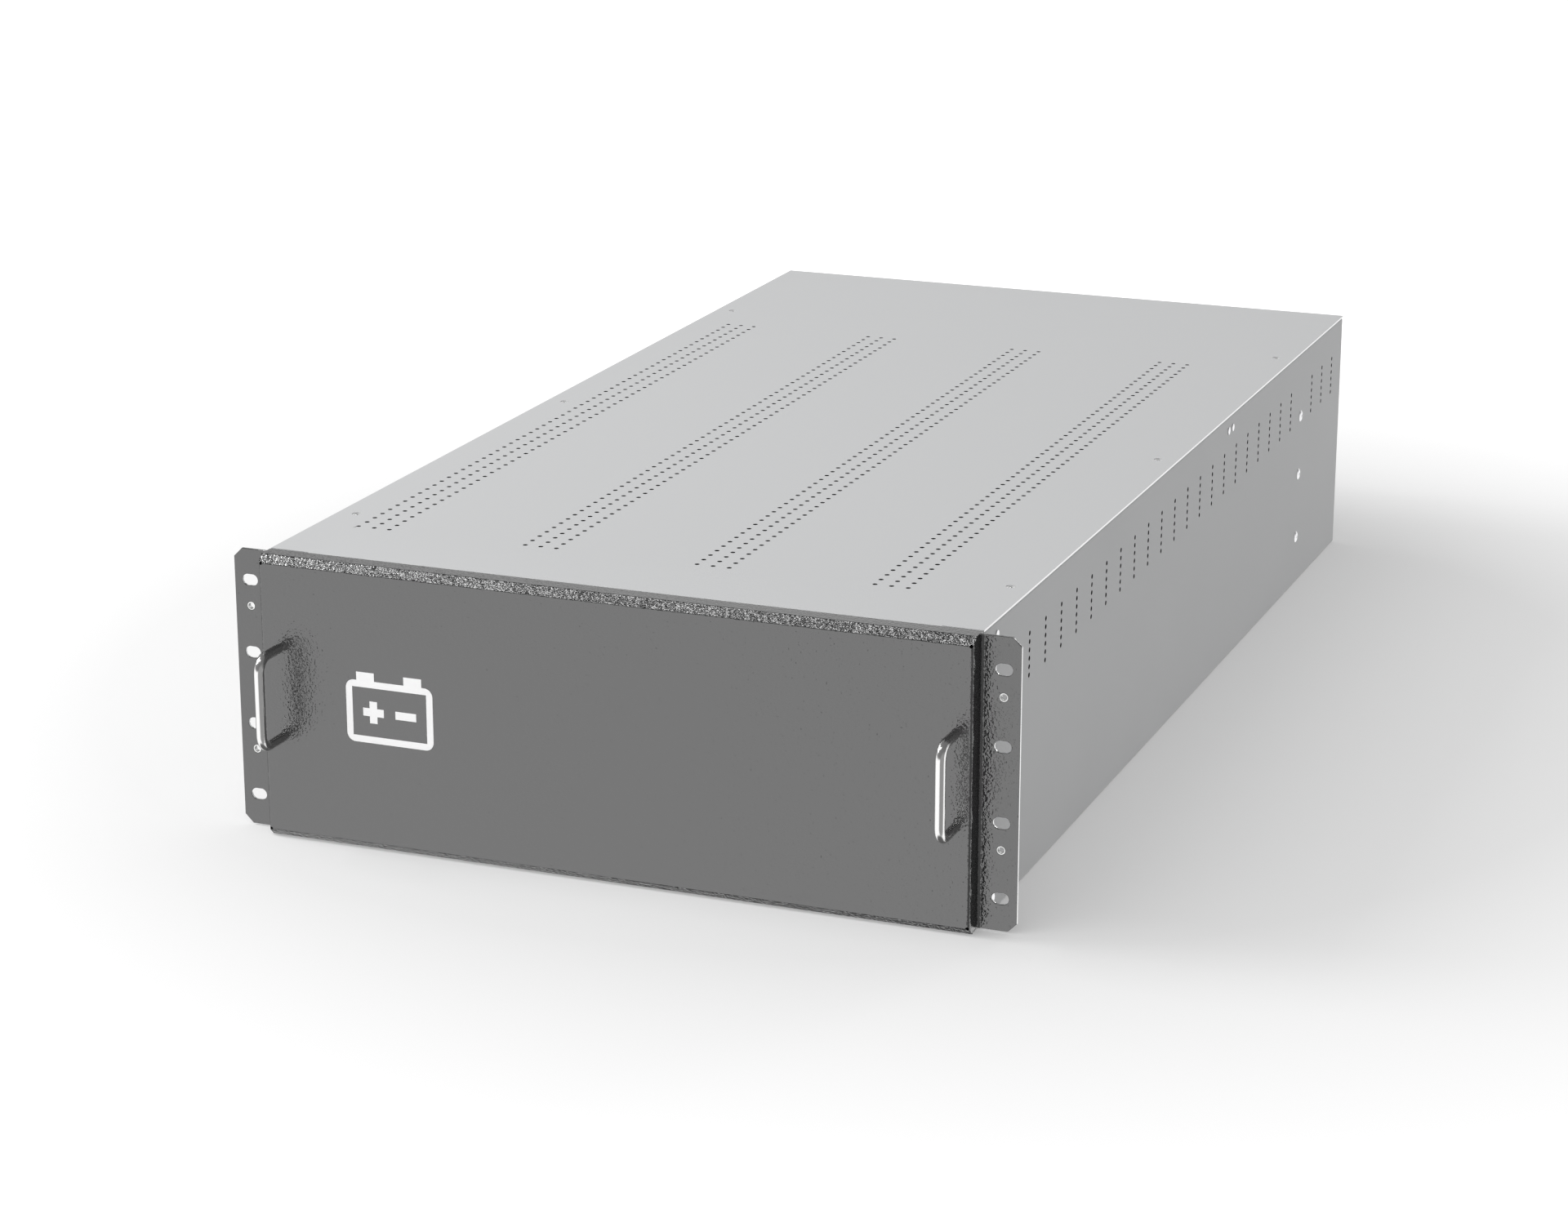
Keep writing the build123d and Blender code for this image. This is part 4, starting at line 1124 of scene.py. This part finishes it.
@dataclass
class Handles:
    """The two bent bar handles."""

    layout: Layout
    radius: float = 3.0 * MM
    bend: float = 9.0 * MM
    reach: float = 22.7 * MM
    spacing: float = 55.0 * MM
    rise: float = 3.1 * MM
    inset: float = 10.5 * MM
    round_faces: int = 32
    bend_faces: int = 12

    def build(self) -> bpy.types.Object:
        """Bends both bars.

        Returns:
            The handles.
        """
        bars = Sheet()
        for side in Side:
            self._bar(bars, side.value * (self.layout.wall_x - self.inset))
        bars.merge()
        bars.turn_out()
        return bars.finish("bar_handles", POLISHED, ["handles"])

    def _bar(self, bars: Sheet, x: float) -> None:
        """Adds one bar that leaves the face, turns up and comes back.

        Args:
            bars: the handles in the making.
            x: how far the bar is from the middle, negative at the left.
        """
        face_y = self.layout.panel_low.y
        low = self.layout.middle_z + self.rise - self.spacing / 2
        high = low + self.spacing
        turn_y = face_y - self.reach + self.bend
        foot = Matrix.Translation((x, face_y, low)) @ Matrix.Rotation(pi / 2, 4, "X")
        ring = bmesh.ops.create_circle(
            bars.bm, segments=self.round_faces, radius=self.radius, matrix=foot
        )["verts"]
        edges = list({edge for vert in ring for edge in vert.link_edges})
        edges = bars.draw(edges, Along.Y.by(turn_y - face_y))
        turn = (Along.X.vector, -pi / 2, self.bend_faces)
        edges = bars.fold(edges, Vector((x, turn_y, low + self.bend)), *turn)
        edges = bars.draw(edges, Along.Z.by(self.spacing - 2 * self.bend))
        edges = bars.fold(edges, Vector((x, turn_y, high - self.bend)), *turn)
        bars.draw(edges, Along.Y.by(face_y - turn_y))


@dataclass
class Fasteners:
    """Screws, rivets and clinch nuts; the outlines, nuts and threads are in mm."""

    layout: Layout
    panel: FrontPanel
    cover: TopCover
    case: CaseShell
    bulkhead_rivet_heights: tuple[float, ...] = (39.0 * MM, -4.0 * MM, -51.0 * MM)
    brace_rivet_places: tuple[float, ...] = (514.5 * MM, 524.7 * MM)
    brace_rivet_height: float = 76.0 * MM
    bracket_rivet_place: float = 26.7 * MM
    bracket_rivet_head: float = 2.7 * MM
    screw_outline: Outline = (
        (0.0, -1.1), (0.9, -1.1), (1.0, -0.55), (2.2, -0.25),
        (2.62, -0.25), (1.5, -1.35), (1.5, -7.8), (0.0, -8.0),
    )
    small_rivet_outline: Outline = (
        (0.0, 0.8), (1.6, 0.78), (2.5, 0.5), (2.75, 0.0), (1.6, -0.01), (1.6, -3.9), (0.0, -4.0),
    )
    blind_rivet_outline: Outline = (
        (0.0, 0.35), (0.95, 0.35), (1.05, 1.05), (1.9, 1.1), (3.1, 0.8), (4.0, 0.15), (4.0, 0.0),
        (2.0, -0.01), (2.0, -4.6), (2.4, -5.2), (0.0, -5.4),
    )
    nut_foot: Outline = ((4.2, -1.5), (4.2, -3.1), (2.2, -3.1))
    nut_collar: Outline = ((2.0, 0.0), (2.45, 0.0), (2.45, -1.5), (4.2, -1.5))
    nut_threads: int = 6
    nut_length: float = 3.1
    nut_bore: float = 1.75
    thread_depth: float = 0.12
    thread_half_width: float = 0.1
    thread_margin: float = 0.25

    def build(self) -> None:
        """Makes every fastener that shows."""
        self._cover_screws()
        self._wall_rivets("bulkhead", self.blind_rivet_outline, self.bulkhead_places())
        self._wall_rivets("brace", self.small_rivet_outline, self.brace_places())
        self._wall_rivets("bracket", self.small_rivet_outline, self.bracket_places())
        self._clinch_nuts()

    def bulkhead_places(self) -> list[tuple[float, float]]:
        """Where the bulkhead's rivets are, seen from the side."""
        y = self.layout.ear_y + self.case.bulkhead
        return [(y, self.layout.middle_z + height) for height in self.bulkhead_rivet_heights]

    def brace_places(self) -> list[tuple[float, float]]:
        """Where the brace's rivets are, seen from the side."""
        height = self.layout.middle_z + self.brace_rivet_height
        return [(self.layout.ear_y + y, height) for y in self.brace_rivet_places]

    def bracket_places(self) -> list[tuple[float, float]]:
        """Finds the front brackets' rivets, whose heads have six sides in the solids.

        Returns:
            Where they are, seen from the side.
        """
        low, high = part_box("bracket_rivets")
        y = self.layout.ear_y + self.bracket_rivet_place
        reach = (high.z - low.z) / 2 - self.bracket_rivet_head * cos(pi / 6)
        middle = (high.z + low.z) / 2
        return [(y, middle - reach), (y, middle + reach)]

    def _cover_screws(self) -> None:
        """Countersunk screws with a round recess, a hair below the cover's face."""
        screws = Sheet()
        for x, y in self.cover.screw_places():
            place = upright(Vector((x, y, self.layout.cover_high.z)), Along.Z.vector)
            screws.revolve(self.screw_outline, place)
        self._close(screws, "cover_screw_heads", ZINC, "cover_screws")

    def _wall_rivets(self, held: str, outline: Outline, places: list[tuple[float, float]]) -> None:
        """Makes the rivets on both side walls that hold one inner piece.

        Args:
            held: the inner piece.
            outline: a rivet's outline; a blind rivet's has the sunk end of its broken pin.
            places: (distance, height) of each rivet.
        """
        rivets = Sheet()
        for side in Side:
            for y, height in places:
                centre = Vector((side.value * self.layout.wall_x, y, height))
                rivets.revolve(outline, upright(centre, Along.X.by(side.value)))
        self._close(rivets, f"{held}_rivet_heads", RIVET, f"{held}_rivets")

    def _clinch_nuts(self) -> None:
        """Clinch nuts whose threads are open at both ends."""
        nuts = Sheet()
        outline = list(self.nut_foot)
        pitch = (self.nut_length - 2 * self.thread_margin) / self.nut_threads
        for turn in range(self.nut_threads + 1):
            height = -self.nut_length + self.thread_margin + turn * pitch
            outline.append((self.nut_bore + self.thread_depth, height - self.thread_half_width))
            outline.append((self.nut_bore, height + self.thread_half_width))
        outline += self.nut_collar
        for x, height in self.panel.nut_places():
            nuts.revolve(outline, upright(Vector((x, self.layout.ear_y, height)), FORWARD))
        self._close(nuts, "clinch_nut_bodies", ZINC, "clinch_nuts")

    @staticmethod
    def _close(sheet: Sheet, name: str, finish: Finish, node: str) -> None:
        """Closes a group of turned forms, turns their faces outwards and finishes them.

        Args:
            sheet: the forms.
            name: the piece's name.
            finish: its surface.
            node: the solids that it stands for.
        """
        sheet.merge()
        sheet.turn_out()
        sheet.finish(name, finish, [node])


@dataclass
class Pictogram:
    """The white battery sign on the face: a rounded frame, two terminals, a plus and a minus."""

    layout: Layout
    centre_x: float = -136.6 * MM
    drop: float = 0.85 * MM
    width: float = 56.0 * MM
    height: float = 37.9 * MM
    stroke: float = 5.8 * MM
    corner: float = 5.2 * MM
    terminal_width: float = 11.5 * MM
    terminal_height: float = 5.1 * MM
    terminal_spacing: float = 30.5 * MM
    mark_length: float = 13.4 * MM
    mark_stroke: float = 4.9 * MM
    mark_spacing: float = 20.9 * MM
    lift: float = 0.05 * MM
    corner_faces: int = 8

    def build(self) -> bpy.types.Object:
        """Draws the sign.

        Returns:
            The sign.
        """
        sign = Sheet()
        self._frame(sign)
        top = (self.height + self.terminal_height) / 2
        terminal = (self.terminal_width, self.terminal_height)
        for side in Side:
            self._bar(sign, side.value * self.terminal_spacing / 2, top, *terminal)
            self._bar(sign, side.value * self.mark_spacing / 2, 0.0, self.mark_length, self.mark_stroke)
        arm = (self.mark_length - self.mark_stroke) / 2
        for end in (-1, 1):
            rise = end * (arm + self.mark_stroke) / 2
            self._bar(sign, -self.mark_spacing / 2, rise, self.mark_stroke, arm)
        sign.face_out(FORWARD)
        return sign.finish("battery_sign", PRINT_WHITE)

    def _bar(self, sign: Sheet, x: float, z: float, width: float, height: float) -> list[bmesh.types.BMVert]:
        """Adds a rectangle.

        Args:
            sign: the sign in the making.
            x: its middle, from the sign's middle.
            z: its middle's height over the sign's middle.
            width: its width.
            height: its height.

        Returns:
            Its corners.
        """
        place = Vector(
            (self.centre_x + x, self.layout.panel_low.y - self.lift, self.layout.middle_z - self.drop + z)
        )
        known = set(sign.bm.verts)
        corner = place - Vector((width / 2, 0.0, height / 2))
        sign.grid(corner, Along.X.by(width), Along.Z.by(height))
        return [vert for vert in sign.bm.verts if vert not in known]

    def _frame(self, sign: Sheet) -> None:
        """Adds the frame with its rounded outer corners.

        Args:
            sign: the sign in the making.
        """
        corners = self._bar(sign, 0.0, 0.0, self.width, self.height)
        face = corners[0].link_faces[0]
        inner = bmesh.ops.inset_individual(sign.bm, faces=[face], thickness=self.stroke)["faces"]
        window = [f for f in sign.bm.faces if f not in inner]
        bmesh.ops.delete(sign.bm, geom=window, context="FACES")
        outer = [vert for vert in sign.bm.verts if self._is_outer(vert)]
        bmesh.ops.bevel(
            sign.bm,
            geom=outer,
            offset=self.corner,
            offset_type="OFFSET",
            segments=self.corner_faces,
            profile=0.5,
            affect="VERTICES",
            material=-1,
        )

    def _is_outer(self, vert: bmesh.types.BMVert) -> bool:
        """Whether a corner is on the outside of the frame."""
        return abs(abs(vert.co.x - self.centre_x) - self.width / 2) < SAME


@dataclass
class Interior:
    """Finishes of the solids that are carried over as they are."""

    packs: int = 4

    def dress(self) -> None:
        """Gives each carried solid its finish."""
        per_pack = {
            "battery_tray": GALVANISED,
            "battery_blocks": BLOCK_PLASTIC,
            "pack_clamp": GALVANISED,
            "cell_links": COPPER,
            "pack_plug": SOCKET_PLASTIC,
        }
        single = {
            ZINC: ("handle_screws", "socket_screws", "ground_nut"),
            GALVANISED: ("front_bracket_left", "front_bracket_right", "cross_brace", "bulkhead"),
            COPPER: ("busbar_positive", "busbar_negative", "ground_stud"),
            INSULATOR: ("busbar_insulators", "fuse_holder"),
            FUSE_BODY: ("fuse",),
            CASE_PAINT: ("rear_panel",),
            SOCKET_PLASTIC: ("dc_socket_in", "dc_socket_out"),
        }
        finishes = {node: finish for finish, nodes in single.items() for node in nodes}
        for pack in range(1, self.packs + 1):
            finishes.update({f"{name}_{pack}": finish for name, finish in per_pack.items()})
        for node, finish in finishes.items():
            data = frame["nodes"][node].data
            data.materials.clear()
            data.materials.append(finish.make())
            log.info("%s carried over in %s", node, finish.name)


# The studio


@dataclass(frozen=True)
class Lamp:
    """A soft rectangular lamp aimed at the module."""

    name: str
    place: tuple[float, float, float]
    width: float
    depth: float
    power: float
    aim: tuple[float, float, float] = (0.0, 0.0, 0.08)

    def light(self) -> None:
        """Sets up the lamp."""
        data = bpy.data.lights.new(self.name, "AREA")
        data.shape = "RECTANGLE"
        data.size = self.width
        data.size_y = self.depth
        data.energy = self.power
        lamp = add_object(self.name, data)
        lamp.visible_camera = False
        away = (Vector(self.place) - Vector(self.aim)).normalized()
        level = Along.Y.vector.cross(away).normalized()
        turn = Matrix((level, away.cross(level), away)).transposed()
        lamp.location = self.place
        lamp.rotation_euler = turn.to_euler()


LAMPS = (
    Lamp("key_lamp", (-1.9, -0.6, 1.5), 0.9, 0.9, 25.0),
    Lamp("strip_lamp", (-0.95, -1.04, 1.9), 1.6, 0.24, 5.4, (-0.95, -1.04, 0.0)),
    Lamp("rear_lamp", (1.5, 3.2, 1.6), 1.2, 1.2, 16.0),
)


@dataclass(frozen=True)
class Card:
    """A far bright or dark area that only reflections show, in degrees, from the front to the right."""

    azimuth: float
    rise: float
    inner: float
    outer: float
    level: float

    def over(self, graph: Graph, direction: Wire, base: Wire) -> Wire:
        """Lays the card over what is seen in each direction.

        Args:
            graph: the world's graph.
            direction: the direction of sight.
            base: how bright it is without the card.

        Returns:
            How bright it is with the card.
        """
        turn, tilt = radians(self.azimuth), radians(self.rise)
        aim = Vector((sin(turn) * cos(tilt), -cos(turn) * cos(tilt), sin(tilt)))
        facing = graph.dot(direction, aim)
        span = {"Value": facing, "From Min": cos(radians(self.outer)), "From Max": cos(radians(self.inner))}
        share = graph.node("ShaderNodeMapRange", {"interpolation_type": "SMOOTHSTEP"}, span)
        return base + share * (self.level - base)


CARDS = (
    Card(205.0, 12.0, 15.0, 32.0, 0.80),
    Card(50.0, -12.0, 38.0, 50.0, 0.30),
    Card(-127.0, -12.0, 24.0, 36.0, 0.25),
)


@dataclass
class Studio:
    """The pale floor, the soft light and the camera of the photograph."""

    layout: Layout
    ambient: float = 0.42
    surround: float = 1.12
    overhead: float = 0.16
    underside: float = 0.10
    upper_fade: tuple[float, float] = (0.08, 0.20)
    lower_fade: tuple[float, float] = (-0.87, -0.77)
    bright_side: tuple[float, float, float] = (-0.55, -0.80, 0.25)
    bright_gain: float = 1.25
    floor_size: float = 24.0
    floor_colour: float = 0.56
    floor_lift: float = 0.24
    # Painted shade around the module: the floor's glow is lower within these reaches and rises to its full
    # lift beyond them.
    painted_shade_depth: float = 0.60
    painted_shade_core: float = 0.5
    painted_shade_edge: float = 1.4
    camera_place: tuple[float, float, float] = (0.83561, -1.85987, 0.70368)
    yaw: float = 21.475
    pitch: float = 17.092
    lens: float = 86.723
    sensor: float = 36.0
    clip: tuple[float, float] = (0.01, 60.0)

    def build(self) -> None:
        """Sets up floor, light and camera."""
        scene = bpy.context.scene
        scene.view_settings.view_transform = "Standard"
        self._world()
        self._floor()
        for lamp in LAMPS:
            lamp.light()
        self._camera()

    def _world(self) -> None:
        """Dim for the light on the object, white where it is seen or mirrored."""
        world = bpy.data.worlds.new("studio")
        world.use_nodes = True
        bpy.context.scene.world = world
        graph = Graph(world.node_tree)
        direction = graph.node("ShaderNodeTexCoord", out="Generated")
        facing = graph.dot(direction, Vector(self.bright_side).normalized())
        soft = self.ambient + (facing | 0.0) * self.bright_gain
        height = graph.node("ShaderNodeSeparateXYZ", {}, {0: direction}, "Z")
        upper = graph.spread(height, self.upper_fade, (self.surround, self.overhead))
        lower = graph.spread(height, self.lower_fade, (self.underside, 1.0))
        mirrored = upper * lower
        for card in CARDS:
            mirrored = card.over(graph, direction, mirrored)
        strength = soft + graph.seen() * ((mirrored | graph.ray("Camera") | graph.ray("Transmission")) - soft)
        white = {"Color": (1.0, 1.0, 1.0, 1.0), "Strength": strength}
        background = graph.node("ShaderNodeBackground", {}, white)
        graph.node("ShaderNodeOutputWorld", {}, {"Surface": background})

    def _floor(self) -> None:
        """A pale floor that keeps the module's shadow, with a painted shade around the module: it glows less
        near it.
        """
        floor_sheet = Sheet()
        across, deep = Along.X.by(self.floor_size), Along.Y.by(self.floor_size)
        floor_sheet.grid((across + deep) / -2, across, deep)
        floor_piece = floor_sheet.to_object("floor")
        material = bpy.data.materials.new("floor_white")
        material.use_nodes = True
        graph = Graph(material.node_tree)
        colour = (self.floor_colour,) * 3 + (1.0,)
        matt = graph.node("ShaderNodeBsdfDiffuse", {}, {"Color": colour})
        distance = graph.node("ShaderNodeVectorMath", {"operation": "LENGTH"}, {0: graph.place()}, "Value")
        # The glow rises with distance from the module, so the floor near it is painted darker.
        reach = (self.painted_shade_core, self.painted_shade_edge)
        lift = graph.spread(distance, reach, (self.floor_lift, self.floor_lift + self.painted_shade_depth))
        glow = graph.node("ShaderNodeEmission", {}, {"Strength": graph.seen() * lift})
        both = graph.node("ShaderNodeAddShader", {}, {0: matt, 1: glow})
        graph.node("ShaderNodeOutputMaterial", {}, {"Surface": both})
        floor_piece.data.materials.append(material)
        floor_piece.visible_glossy = False

    def _camera(self) -> None:
        """The camera, level across, turned and tilted as the photograph's."""
        data = bpy.data.cameras.new("camera")
        data.lens = self.lens
        data.sensor_width = self.sensor
        data.sensor_fit = "HORIZONTAL"
        data.clip_start, data.clip_end = self.clip
        camera = add_object("camera", data)
        shift = Vector((0.0, self.layout.ear_y, self.layout.middle_z))
        camera.location = Vector(self.camera_place) + shift
        camera.rotation_euler = (radians(90.0 - self.pitch), 0.0, radians(self.yaw))
        bpy.context.scene.camera = camera


def main() -> None:
    """Builds the module's pieces, dresses the carried solids and sets up the studio."""
    logging.basicConfig(level=logging.INFO, format="%(name)s: %(message)s")
    layout = Layout()
    case, cover, panel = CaseShell(layout), TopCover(layout), FrontPanel(layout)
    case.build()
    cover.build()
    panel.build()
    Handles(layout).build()
    Pictogram(layout).build()
    Fasteners(layout, panel, cover, case).build()
    Interior().dress()
    Studio(layout).build()
    bpy.context.view_layer.update()
    log.info("sizes written")


if __name__ == "__main__":
    main()
